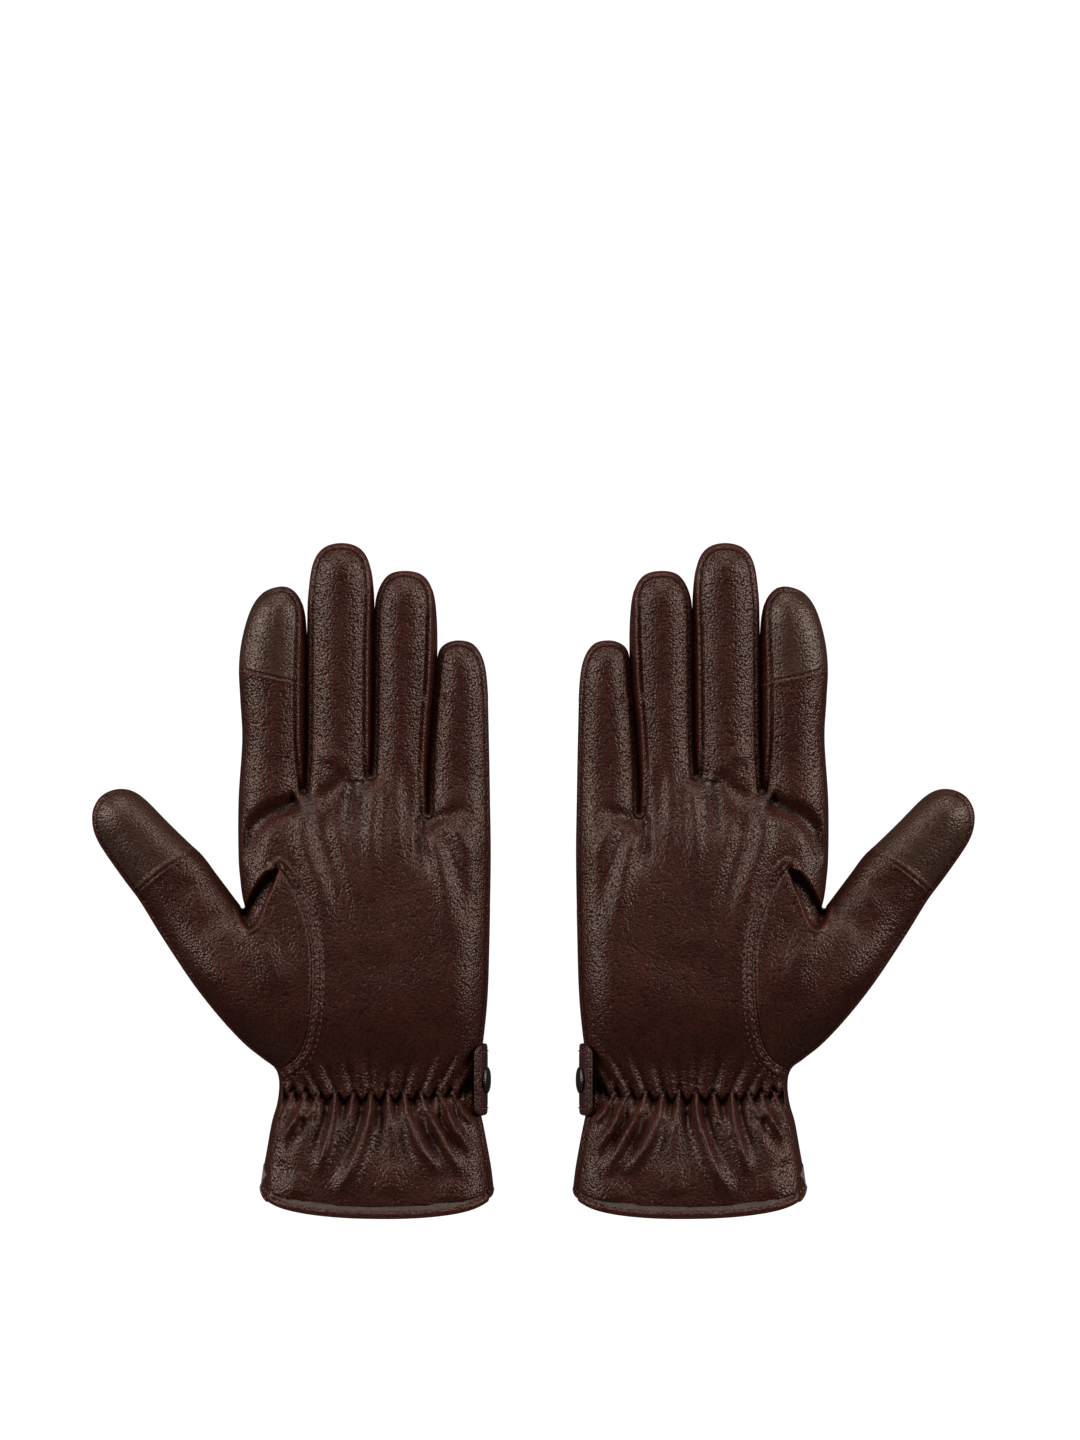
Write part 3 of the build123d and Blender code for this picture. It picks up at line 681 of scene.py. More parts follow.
def skin_side(front):
    """One side of the skin: its points, triangles, the rim's vertices, dye and press, and the seam's line."""
    insets = inset if front else np.full(len(outline), BACK_INSET)
    edge = pull_to_hem(outline + inward * insets[:, None])
    rim = np.vstack([edge, hem_run(edge[-1][0], edge[0][0], 0.0 if front else HEM_BACK_DROP)])
    lines = [straight(edge[outline_index(a)], edge[outline_index(b)], 1.0) for a, b in SPLITS.values()]
    if front:
        own = (thumb_seam, turned_edge, slit_edge, thumb_patch_seam, index_patch_seam)
        seams = [snapped(seam, edge) for seam in own]
    else:
        seams = [snapped(back_thumb_seam, edge)]
    out, faces, ids = triangulate(rim, seams, lines, FRONT_GRID if front else BACK_GRID)
    z, dye_and_painted_shade, press = skin_height(out, front)
    return np.column_stack([out, z]), faces, ids, dye_and_painted_shade, press, edge


def make_skin():
    """The whole skin of a glove: vertices, faces, dye with painted shade, and a region's name for each face.
    """
    front, front_faces, front_ids, front_dye_and_painted_shade, front_press, front_edge = skin_side(True)
    back, back_faces, back_ids, back_dye_and_painted_shade, back_press, back_edge = skin_side(False)
    count = len(outline)
    # the band between the two seams, which shares its first and last rows with the two sides
    centre = np.column_stack([outline, np.zeros(count)])
    radius = base_fields(centre)[2]
    cos_front = np.clip(1 - inset / radius, 0, 1) ** (EDGE_POWER / 2)
    cos_back = np.clip(1 - BACK_INSET / radius, 0, 1) ** (BACK_POWER / 2)
    start, end = np.arccos(cos_front), -np.arccos(cos_back)
    rows, dyes_and_painted_shades, presses = [], [], []
    for step in range(1, BAND_STEPS):
        angle = start + (end - start) * BAND_ROWS[step]
        upper = angle >= 0
        power = np.where(upper, EDGE_POWER, BACK_POWER)
        depth = radius * (1 - np.abs(np.cos(angle)) ** (2 / power))
        place = pull_to_hem(outline + inward * (depth - SIDE_BULGE * hump(depth, 0.4))[:, None])
        top_here, low_here, _ = base_fields(np.column_stack([place, np.zeros(count)]))
        middle = low_here + EDGE_LEVEL * (top_here - low_here)
        height = np.abs(np.sin(angle)) ** (2 / power)
        z = np.where(upper, middle + (top_here - middle) * height, middle - (middle - low_here) * height)
        gap = np.minimum(np.abs(inset - depth) + 9 * ~upper, np.abs(BACK_INSET - depth) + 9 * upper)
        presses.append(strength * seam_press(gap))
        rows.append(np.column_stack([place, z]))
        rim_dye = 0.4 * hump(depth, 0.5) * upper
        # the seam's line on the band is painted dark, as the shade of its groove
        dyes_and_painted_shades.append(strength * np.maximum(seam_dye(gap), rim_dye) - strength * painted_seam_shade(gap))
    vertices = np.vstack([front, back] + rows)
    dye_and_painted_shade = np.concatenate([front_dye_and_painted_shade, back_dye_and_painted_shade] + dyes_and_painted_shades)
    press = np.concatenate([front_press, back_press] + presses)
    first = len(front) + len(back)
    grid = [np.array(front_ids[:count])]
    grid += [first + step * count + np.arange(count) for step in range(BAND_STEPS - 1)]
    grid += [len(front) + np.array(back_ids[:count])]
    band = []
    for step in range(BAND_STEPS):
        for i in range(count - 1):
            band.append((grid[step][i], grid[step][i + 1], grid[step + 1][i + 1], grid[step + 1][i]))
    band = np.array(band)
    band_at = np.tile(np.arange(count - 1) + 0.5, BAND_STEPS)
    hem_front = front_ids[count:]
    hem_back = [len(front) + i for i in back_ids[count:]]
    loop = [g[-1] for g in grid][::-1]
    hem_loop = loop + hem_front + [g[0] for g in grid] + hem_back[::-1]
    back_faces = back_faces[:, ::-1] + len(front)
    vertices = vertices - corner_normals(vertices, [front_faces, back_faces, band]) * press[:, None]
    vertices[:, 2] = np.maximum(vertices[:, 2], 0.02)
    return dict(
        vertices=vertices, dye_and_painted_shade=dye_and_painted_shade, front=front_faces, back=back_faces, band=band,
        band_at=band_at, front_edge=front_edge, back_edge=back_edge, hem_loop=hem_loop,
    )


def cut_between(edge, a, b):
    """The polygon of a digit beyond the line between two points of the outline."""
    ia, ib = sorted((outline_index(a), outline_index(b)))
    return edge[ia:ib + 1]


def name_regions(skin):
    """The region of every face, in the order front, back, band."""
    centres = {k: skin["vertices"][skin[k]].mean(1) for k in ("front", "back", "band")}
    names = {k: np.full(len(skin[k]), "palm" if k != "back" else "back", object) for k in centres}
    thumb_root = [outline_index(end) for end in THUMB_BASE_ENDS]
    for side, edge in (("front", skin["front_edge"]), ("back", skin["back_edge"])):
        seam = back_thumb_seam[:, :2]
        if side == "front":
            seam = np.vstack([turned_edge[:, :2], thumb_seam[1:, :2]])
        polygon = np.vstack([edge[thumb_root[0]:thumb_root[1] + 1], seam[::-1]])
        names[side][inside(centres[side], polygon)] = "thumb_base"
        for name, (a, b) in SPLITS.items():
            names[side][inside(centres[side], cut_between(edge, a, b))] = name
    edge = skin["front_edge"]
    patches = {"thumb_patch": thumb_patch_seam, "index_patch": index_patch_seam}
    for name, seam in patches.items():
        ends = [int(np.argmin(np.linalg.norm(edge - seam[k, :2], axis=1))) for k in (0, -1)]
        patches[name] = (min(ends), max(ends))
        line = snapped(seam, edge)
        if ends[0] > ends[1]:
            line = line[::-1]
        polygon = np.vstack([edge[min(ends):max(ends) + 1], line[::-1]])
        names["front"][inside(centres["front"], polygon)] = name
    at = skin["band_at"]
    limits = {name: sorted((outline_index(a), outline_index(b))) for name, (a, b) in SPLITS.items()}
    rows = names["band"]
    rows[:] = "crotch"
    rows[at < limits["little"][0]] = "back"
    rows[(at > limits["index"][1]) & (at < thumb_root[0])] = "palm"
    rows[(at > thumb_root[0])] = "thumb_base"
    rows[(at > thumb_root[1])] = "back"
    for name, (low, high) in limits.items():
        rows[(at > low) & (at < high)] = name
        if name != "thumb":
            x, y = outline[np.clip(at.astype(int), 0, len(outline) - 1)].T
            strip = (at > low) & (at < high) & (y < outline[low:high, 1].max() - FOURCHETTE_END)
            x_mid = (outline[low, 0] + outline[high, 0]) / 2
            if name == "little":
                strip &= x > x_mid
            if name == "index":
                strip &= x < x_mid
            rows[strip] = name + "_fourchette"
    rows[(at > outline_index(INDEX_TIP)) & (at < patches["index_patch"][1])] = "index_patch"
    rows[(at > patches["thumb_patch"][0]) & (at < outline_index(THUMB_TIP))] = "thumb_patch"
    return np.concatenate([names["front"], names["back"], names["band"]])


def corner_normals(vertices, faces):
    """Vertex normals of the welded skin, each face weighing by its area."""
    total = np.zeros_like(vertices)
    for face in faces:
        a, b, c = (vertices[face[:, k]] for k in (0, 1, 2))
        normal = np.cross(b - a, c - a)
        if face.shape[1] == 4:
            d = vertices[face[:, 3]]
            normal = np.cross(c - a, d - b)
        for k in range(face.shape[1]):
            np.add.at(total, face[:, k], normal)
    return total / (np.linalg.norm(total, axis=1)[:, None] + 1e-12)


# ---- Meshes and materials


def add_mesh(name, points, faces, side, material, normals=None, dye_and_painted_shade=None):
    """A mesh in the frame from points of one glove in millimetres; the left one is mirrored."""
    sign = SIDES[side]
    points = np.asarray(points, float)
    placed = (points * (sign, 1, 1) + (sign * GLOVE_X, 0, 0)) * MM
    faces = [list(map(int, f)) if sign > 0 else list(map(int, f))[::-1] for f in faces]
    mesh = bpy.data.meshes.new(f"{side}_{name}")
    mesh.from_pydata(placed.tolist(), [], faces)
    mesh.shade_smooth()
    rest = mesh.attributes.new("rest", "FLOAT_VECTOR", "POINT")
    rest.data.foreach_set("vector", placed.astype(np.float32).ravel())
    # this attribute holds red edge dye above 0 and painted shade below 0
    if dye_and_painted_shade is not None:
        mesh.attributes.new("dye_and_painted_shade", "FLOAT", "POINT").data.foreach_set("value", np.asarray(dye_and_painted_shade, np.float32))
    if normals is not None:
        mesh.normals_split_custom_set_from_vertices((np.asarray(normals) * (sign, 1, 1)).tolist())
    mesh.materials.append(material)
    piece = bpy.data.objects.new(f"{side}_{name}", mesh)
    bpy.context.collection.objects.link(piece)
    return piece


class Nodes:
    """A short way to build a material's node tree."""

    def __init__(self, name):
        self.material = bpy.data.materials.new(name)
        self.material.use_nodes = True
        self.tree = self.material.node_tree
        self.tree.nodes.clear()
        self.output = self.tree.nodes.new("ShaderNodeOutputMaterial")

    def add(self, kind, inputs=(), **settings):
        node = self.tree.nodes.new(kind)
        for key, value in settings.items():
            setattr(node, key, value)
        for key, value in dict(inputs).items():
            self.put(node.inputs[key], value)
        return node

    def put(self, socket, value):
        if isinstance(value, bpy.types.NodeSocket):
            self.tree.links.new(value, socket)
        else:
            socket.default_value = value

    def maths(self, operation, a, b=0.0, clamp=False):
        node = self.add("ShaderNodeMath", operation=operation, use_clamp=clamp)
        self.put(node.inputs[0], a)
        self.put(node.inputs[1], b)
        return node.outputs[0]

    def plus(self, a, b, clamp=False):
        return self.maths("ADD", a, b, clamp)

    def minus(self, a, b, clamp=False):
        return self.maths("SUBTRACT", a, b, clamp)

    def times(self, a, b, clamp=False):
        return self.maths("MULTIPLY", a, b, clamp)

    def mix(self, factor, a, b):
        node = self.add("ShaderNodeMix", data_type="RGBA")
        self.put(node.inputs["Factor"], factor)
        self.put(node.inputs["A"], a)
        self.put(node.inputs["B"], b)
        return node.outputs["Result"]

    def rest(self):
        return self.add("ShaderNodeAttribute", attribute_name="rest").outputs["Vector"]

    def noise(self, vector, scale, detail=2.0):
        inputs = {"Vector": vector, "Scale": scale, "Detail": detail}
        return self.add("ShaderNodeTexNoise", inputs).outputs["Fac"]

    def finish(self, **inputs):
        bsdf = self.add("ShaderNodeBsdfPrincipled", {k.replace("_", " "): v for k, v in inputs.items()})
        self.tree.links.new(bsdf.outputs[0], self.output.inputs["Surface"])
        return self.material


def rgba(colour, share=1.0):
    return (*[channel * share for channel in colour], 1)


def leather(name, colour, dark, dyed, grain=0.00012, roughness=0.37, gloss=0.50):
    """Grained leather: pebbles about 0.85 mm wide, dark between them, finer wrinkles, dyed edges and painted
    shade.
    """
    n = Nodes(name)
    rest = n.rest()
    warp = n.add("ShaderNodeTexNoise", {"Vector": rest, "Scale": 500.0, "Detail": 1.0}).outputs["Color"]
    bent = n.add("ShaderNodeMix", {"Factor": 0.0005}, data_type="VECTOR")
    n.put(bent.inputs["A"], rest)
    n.put(bent.inputs["B"], warp)
    spread = {"Vector": bent.outputs["Result"], "Scale": PEBBLES_PER_METRE}
    pebbles = n.add("ShaderNodeTexVoronoi", spread, feature="SMOOTH_F1")
    pebbles.inputs["Smoothness"].default_value = 0.3
    broad = n.noise(rest, 90.0, 4.0)
    pit = n.maths("POWER", n.times(pebbles.outputs["Distance"], 1.5), 2.0)
    height = n.minus(n.times(n.noise(rest, 3200.0, 1.0), 0.08), pit)
    height = n.plus(height, n.times(n.noise(rest, 520.0, 1.0), 0.35))
    bump = n.add("ShaderNodeBump", {"Height": height, "Distance": grain, "Strength": 1.0})
    tone = n.plus(n.times(broad, 1.1), n.times(pit, -0.5), True)
    base = n.mix(tone, rgba(dark), rgba(colour))
    dye_and_painted_shade = n.add("ShaderNodeAttribute", attribute_name="dye_and_painted_shade").outputs["Fac"]
    base = n.mix(n.times(dye_and_painted_shade, 0.75, True), base, rgba(dyed))
    # where the value falls below 0 the leather is painted nearly black: painted shade of grooves and hollows
    base = n.mix(n.times(dye_and_painted_shade, -1.0, True), base, rgba(dark, 0.12))
    rough = n.plus(n.times(n.noise(rest, 200.0), 0.16), roughness - 0.08)
    # and its reflection is taken away there, as in shade
    outside_painted_shade = n.minus(n.plus(1.0, dye_and_painted_shade), n.maths("MAXIMUM", dye_and_painted_shade, 0.0), True)
    shine = n.times(outside_painted_shade, n.minus(gloss, n.times(pit, 0.3 * gloss), True))
    return n.finish(
        Base_Color=base, Roughness=rough, Normal=bump.outputs[0], IOR=1.5, Specular_IOR_Level=shine,
        Specular_Tint=(1.0, 0.79, 0.67, 1),
    )


def fleece(name, colour):
    """The brushed lining: short matted fibres."""
    n = Nodes(name)
    rest = n.rest()
    fibre = n.noise(rest, 2600.0, 5.0)
    tuft = n.noise(rest, 420.0, 3.0)
    height = n.plus(n.times(fibre, 0.5), tuft)
    bump = n.add("ShaderNodeBump", {"Height": height, "Distance": 0.0008, "Strength": 1.0})
    base = n.mix(tuft, rgba(colour, 0.55), rgba(colour))
    return n.finish(
        Base_Color=base, Roughness=0.95, Normal=bump.outputs[0], Specular_IOR_Level=0.15, Sheen_Weight=0.5,
        Sheen_Roughness=0.5,
    )


def webbing(name, colour):
    """Woven elastic with ribs across it."""
    n = Nodes(name)
    wave = n.add(
        "ShaderNodeTexWave", {"Vector": n.rest(), "Scale": 900.0, "Distortion": 0.4}, bands_direction="X"
    ).outputs["Fac"]
    bump = n.add("ShaderNodeBump", {"Height": wave, "Distance": 0.0002, "Strength": 0.8})
    base = n.mix(wave, rgba(colour, 0.5), rgba(colour))
    return n.finish(Base_Color=base, Roughness=0.8, Normal=bump.outputs[0], Specular_IOR_Level=0.25)


def metal(name, colour, roughness):
    """Blackened metal with faint wear."""
    n = Nodes(name)
    wear = n.noise(n.rest(), 1500.0, 4.0)
    rough = n.plus(n.times(wear, 0.2), roughness - 0.1)
    return n.finish(Base_Color=rgba(colour), Metallic=1.0, Roughness=rough)


def thread(name, colour):
    """Twisted sewing thread."""
    n = Nodes(name)
    twist = n.noise(n.rest(), 5000.0, 1.0)
    base = n.mix(twist, rgba(colour, 0.6), rgba(colour))
    return n.finish(Base_Color=base, Roughness=0.6, Specular_IOR_Level=0.35)


PEBBLES_PER_METRE = 1180.0
EDGE_DYE = (0.085, 0.016, 0.0105)
LEATHER = leather("leather", (0.061, 0.0135, 0.0083), (0.024, 0.0049, 0.0028), (0.084, 0.0170, 0.0105))
PATCH = leather(
    "touch_leather", (0.064, 0.0285, 0.0178), (0.034, 0.0145, 0.009), EDGE_DYE, 0.00010, 0.38, 0.58
)
# a darker copy of the leather for the creases: painted shade
SHADED_CREASE_LEATHER = leather("crease_leather", (0.040, 0.013, 0.010), (0.020, 0.0065, 0.005), (0.06, 0.012, 0.008))
BINDING = leather(
    "binding_leather", (0.075, 0.018, 0.013), (0.045, 0.0105, 0.008), (0.09, 0.02, 0.013), 0.00005
)
STRAP = leather("strap_leather", (0.050, 0.017, 0.013), (0.025, 0.0085, 0.0068), EDGE_DYE)
FLEECE = fleece("fleece_lining", (0.115, 0.078, 0.062))
WEBBING = webbing("elastic_webbing", (0.020, 0.018, 0.018))
METAL = metal("snap_metal", (0.10, 0.088, 0.082), 0.38)
THREAD = thread("thread", (0.125, 0.032, 0.021))

# ---- Small shapes


def unit(vector):
    vector = np.asarray(vector, float)
    return vector / (np.linalg.norm(vector, axis=-1, keepdims=True) + 1e-12)


def join(shapes):
    """One list of points and one of faces from several of each."""
    points, faces, first = [], [], 0
    for more, some in shapes:
        points.append(np.asarray(more, float))
        faces += [[i + first for i in face] for face in some]
        first += len(more)
    return np.vstack(points), faces


def rings(rows, closed_rows=False, capped=False):
    """Faces between rings of points that each close on themselves."""
    count, around = len(rows), len(rows[0])
    faces = []
    for i in range(count if closed_rows else count - 1):
        a, b = i * around, (i + 1) % count * around
        faces += [(a + k, a + (k + 1) % around, b + (k + 1) % around, b + k) for k in range(around)]
    if capped:
        faces += [tuple(range(around))[::-1], tuple(range((count - 1) * around, count * around))]
    return np.vstack(rows), faces


def tube(path, radius, up, closed=False, around=10):
    """A round tube along a path, with its section turned to face up."""
    path = np.asarray(path, float)
    if closed:
        tangent = unit(np.roll(path, -1, 0) - np.roll(path, 1, 0))
    else:
        tangent = unit(np.gradient(path, axis=0))
    side = unit(np.cross(tangent, up))
    over = np.cross(side, tangent)
    angle = 2 * pi * np.arange(around)[:, None] / around
    rows = [p + radius * (np.cos(angle) * a + np.sin(angle) * b) for p, a, b in zip(path, side, over)]
    return rings(rows, closed, not closed)


# A stitch's places along its length, its thickness there and its lift, both in radii
STITCH_SHAPE = (
    (-0.04, 0.25, -1.2), (0.03, 0.75, -0.4), (0.25, 1.0, 0.1), (0.75, 1.0, 0.1), (0.97, 0.75, -0.4),
    (1.04, 0.25, -1.2),
)


def stitch(start, end, up, radius):
    """One stitch: a bead of thread between two needle holes, thickest in its middle."""
    start, end = np.asarray(start, float), np.asarray(end, float)
    along = unit(end - start)
    side = unit(np.cross(along, up))
    over = np.cross(side, along)
    rows = []
    angle = 2 * pi * np.arange(6)[:, None] / 6
    for t, swell, lift in STITCH_SHAPE:
        middle = start + (end - start) * t + over * lift * radius
        rows.append(middle + radius * swell * (np.cos(angle) * side + np.sin(angle) * over))
    return rings(rows, False, True)


def stitch_row(path, up, pitch=2.6, share=0.66, radius=0.26):
    """A row of stitches along a path of points, each covering its share of the pitch."""
    path = np.asarray(path, float)
    along = np.concatenate([[0], np.cumsum(np.linalg.norm(np.diff(path, axis=0), axis=1))])
    ups = np.broadcast_to(np.asarray(up, float), path.shape)
    count = int(along[-1] / pitch)
    shapes = []
    for k in range(count):
        at = [(k + 0.5 - share / 2) * along[-1] / count, (k + 0.5 + share / 2) * along[-1] / count]
        start, end = [np.array([np.interp(s, along, path[:, c]) for c in range(3)]) for s in at]
        lift = np.array([np.interp(sum(at) / 2, along, ups[:, c]) for c in range(3)])
        shapes.append(stitch(start, end, lift, radius))
    return join(shapes)


def lathe(profile, centre, axis, around=40, teeth=0, depth=0.0):
    """A turned part: the profile holds pairs of distance along the axis and radius; teeth knurl its rim."""
    axis = unit(axis)
    side = unit(np.cross(axis, (0, 1, 0)))
    over = np.cross(side, axis)
    rows = []
    angle = 2 * pi * np.arange(around)[:, None] / around
    rim = 0.6 * max(radius for _, radius in profile)
    for distance, radius in profile:
        reach = radius * (1 + depth * np.cos(teeth * angle)) if radius > rim else radius
        spokes = np.cos(angle) * side + np.sin(angle) * over
        rows.append(np.asarray(centre) + axis * distance + reach * spokes)
    return rings(rows, False, True)


def ribbon(path, across, low, high, thickness, corners):
    """A strap along a path: rounded edges, rounded corners at the ends where a corner radius is given."""
    path = np.asarray(path, float)
    tangent = unit(np.gradient(path, axis=0))
    across = np.asarray(across, float)
    normal = unit(np.cross(tangent, across))
    along = np.concatenate([[0], np.cumsum(np.linalg.norm(np.diff(path, axis=0), axis=1))])
    middle, half = (low + high) / 2, (high - low) / 2
    angle = 2 * pi * (np.arange(56) + 0.5) / 56
    rows = []
    for k, p in enumerate(path):
        width, bulk = half, 1.0
        for gap, corner in ((along[k], corners[0]), (along[-1] - along[k], corners[1])):
            if corner and gap < corner:
                width = min(width, half - corner + sqrt(max(corner**2 - (corner - gap) ** 2, 0.0)))
            if corner and gap < 0.8:
                bulk = min(bulk, 0.25 + 0.75 * sqrt(1 - (1 - gap / 0.8) ** 2))
        c, s = np.cos(angle), np.sin(angle)
        u = np.sign(c) * np.abs(c) ** 0.22 * width
        pressed = 1 - 0.22 * hump(width - np.abs(u) - 2.4, 0.5)
        w = np.sign(s) * np.abs(s) ** 0.45 * thickness / 2 * bulk * pressed
        rows.append(p + across * (middle + u)[:, None] + normal[k] * w[:, None])
    return rings(rows, False, True)


# ---- The gloves

# Each piece of the skin: its region, its material, its slot and the digit it belongs to
SKIN_PIECES = {
    "palm_leather": ("palm", LEATHER, "leather", None),
    "back_leather": ("back", LEATHER, "leather", None),
    "thumb_base_leather": ("thumb_base", LEATHER, "leather", None),
    "crotch_fourchettes": ("crotch", LEATHER, "leather", None),
    # the creases take the darker leather: painted shade
    "finger_creases": ("crease", SHADED_CREASE_LEATHER, "crease_leather", None),
    "index_leather": ("index", LEATHER, "leather", "index"),
    "index_touch_patch": ("index_patch", PATCH, "touch_leather", "index"),
    "index_fourchette": ("index_fourchette", LEATHER, "leather", "index"),
    "middle_leather": ("middle", LEATHER, "leather", "middle"),
    "middle_fourchettes": ("middle_fourchette", LEATHER, "leather", "middle"),
    "ring_leather": ("ring", LEATHER, "leather", "ring"),
    "ring_fourchettes": ("ring_fourchette", LEATHER, "leather", "ring"),
    "little_leather": ("little", LEATHER, "leather", "little"),
    "little_fourchette": ("little_fourchette", LEATHER, "leather", "little"),
    "thumb_leather": ("thumb", LEATHER, "leather", "thumb"),
    "thumb_touch_patch": ("thumb_patch", PATCH, "touch_leather", "thumb"),
}


def settle(piece, side, digit, nodes):
    """Attaches a piece to the hand or the strap tab, bakes a digit's piece in place, and hides its CAD nodes.
    """
    if digit is None:
        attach(piece, f"{side}_hand")
    elif digit == "strap_tab":
        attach(piece, f"{side}_strap_tab")
    else:
        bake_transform(piece)
    if nodes:
        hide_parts(*[f"{side}_{node}" for node in nodes])
    return piece


skin = make_skin()
regions = name_regions(skin)
skin_faces = [tuple(f) for key in ("front", "back", "band") for f in skin[key]]
skin_normals = corner_normals(skin["vertices"], [skin["front"], skin["back"], skin["band"]])

# Faces of the palm side along the first creases get the darker crease leather: painted shade in the creases
CREASE_HALF, CREASE_TAPER, CREASE_SHARE = 1.5, 0.9, 0.7
PALM_LEVEL = 8             # what lies higher belongs to the palm side
CREASES = [fold[0] for fold in PALM_FOLDS[:2] + PALM_FOLDS[4:6]]
centres = np.array([skin["vertices"][list(f)].mean(0) for f in skin_faces])
for crease in CREASES:
    line = spline(crease, 1.0)
    gap, place = Nearest(line)(centres)
    half_width = CREASE_HALF - CREASE_TAPER * place / (len(line) - 1)
    within = (gap < half_width) & (place < CREASE_SHARE * len(line))
    regions[within & (regions == "palm") & (centres[:, 2] > PALM_LEVEL)] = "crease"


def make_skin_pieces(side):
    for name, (region, material, slot_name, digit) in SKIN_PIECES.items():
        chosen = [skin_faces[i] for i in np.flatnonzero(regions == region)]
        used = sorted({i for face in chosen for i in face})
        place = {old: new for new, old in enumerate(used)}
        faces = [tuple(place[i] for i in face) for face in chosen]
        normals, dye_and_painted_shade = skin_normals[used], skin["dye_and_painted_shade"][used]
        piece = add_mesh(name, skin["vertices"][used], faces, side, material, normals, dye_and_painted_shade)
        settle(piece, side, digit, (name,))


def on_skin(line, lift=0.0):
    """Points of a line in the plane of the glove, laid on the palm side of the skin."""
    z, _, _ = skin_height(line, True)
    return np.column_stack([line[:, :2], z + lift])


def offset(line, distance):
    return line[:, :2] + right_of(line) * distance


def make_stitches(side):
    up = (0, 0, 1)
    hand = [stitch_row(on_skin(offset(thumb_seam[2:], row), 0.2), up, 2.5, 0.62, 0.4) for row in THUMB_ROWS]
    x = np.linspace(HEM_CORNERS[0][0] + 1.2, HEM_CORNERS[1][0] - 1.2, 90)
    hem = on_skin(np.column_stack([x, hem_y(x) + HEM_STITCH]), 0.15)
    hand.append(stitch_row(hem, up, 2.5, 0.62, 0.42))
    index = stitch_row(on_skin(offset(index_patch_seam, -0.9), 0.1), up, 2.3, 0.62, 0.32)
    thumb = stitch_row(on_skin(offset(thumb_patch_seam, 1.3)), up, 2.3)
    rows = {
        "seam_stitches": (join(hand), None),
        "index_patch_stitches": (index, "index"),
        "thumb_patch_stitches": (thumb, "thumb"),
    }
    for name, ((points, faces), digit) in rows.items():
        piece = add_mesh(name, points, faces, side, THREAD)
        settle(piece, side, digit, ())


HEM_FIT, HEM_TUBE = (0.988, 1, 0.975), 0.55      # the binding's loop against the hem's, and its radius


def make_hem(side):
    path = skin["vertices"][skin["hem_loop"]]
    centre = path.mean(0)
    points, faces = tube(centre + (path - centre) * HEM_FIT + (0, 0.1, 0), HEM_TUBE, (0, 1, 0), True)
    piece = add_mesh("hem_binding", points, faces, side, BINDING)
    settle(piece, side, None, ("hem_binding",))


def superellipse(x0, x1, z0, z1, power, count=72):
    angle = 2 * pi * np.arange(count) / count
    c, s = np.cos(angle), np.sin(angle)
    x = (x0 + x1) / 2 + (x1 - x0) / 2 * np.sign(c) * np.abs(c) ** (2 / power)
    z = (z0 + z1) / 2 + (z1 - z0) / 2 * np.sign(s) * np.abs(s) ** (2 / power)
    return x, z


# The lining's section up the hand: y, its two sides, and how far it lies under the palm side; and how far it
# lies above the back
LINING = [
    (-104, -45.2, 35.8, 3.6), (-96, -43.8, 34.2, 5.2), (-88, -42.0, 32.4, 6.6),
    (-76.5, -40.2, 30.6, 8.2), (-66, -41.2, 31.0, 5.0), (-50, -43.2, 38.0, 3.6), (-24, -44.6, 41.0, 3.6),
    (2, -44.8, 43.0, 4.0), (18, -45.0, 44.6, 4.4),
]
LINING_INSET, LINING_THICK = 1.7, 0.9
# The lining's mouth: how far it lies inside the hem, as a share of the width, and how deep
MOUTH_STEPS = ((0.988, 0.3), (0.978, 1.4), (0.968, 4.5), (0.962, 8.0))
DIGIT_AROUND = 32          # points around a digit's lining
# The digits' linings: the middle line's two ends, the half width and the heights of the lower and upper face
DIGIT_LININGS = {
    "index": ((33.6, 34.0), (33.2, 102.0), 8.6, 2.6, 17.6),
    "middle": ((10.2, 38.0), (8.6, 118.0), 7.6, 2.6, 17.8),
    "ring": ((-12.6, 37.0), (-14.6, 108.0), 7.6, 2.6, 17.0),
    "little": ((-34.6, 26.0), (-34.8, 82.4), 7.8, 2.4, 15.4),
    "thumb": ((58.0, -18.0), (90.6, 24.6), 9.6, 3.6, 19.8),
}


def around_loop(loop, middle, angles):
    """The points of a closed loop in the directions of some angles about its middle, seen along y."""
    turn = np.arctan2(loop[:, 2] - middle[2], loop[:, 0] - middle[0])
    order = np.argsort(turn)
    turn, loop = turn[order], loop[order]
    return np.column_stack([np.interp(angles, turn, loop[:, k], period=2 * pi) for k in range(3)])


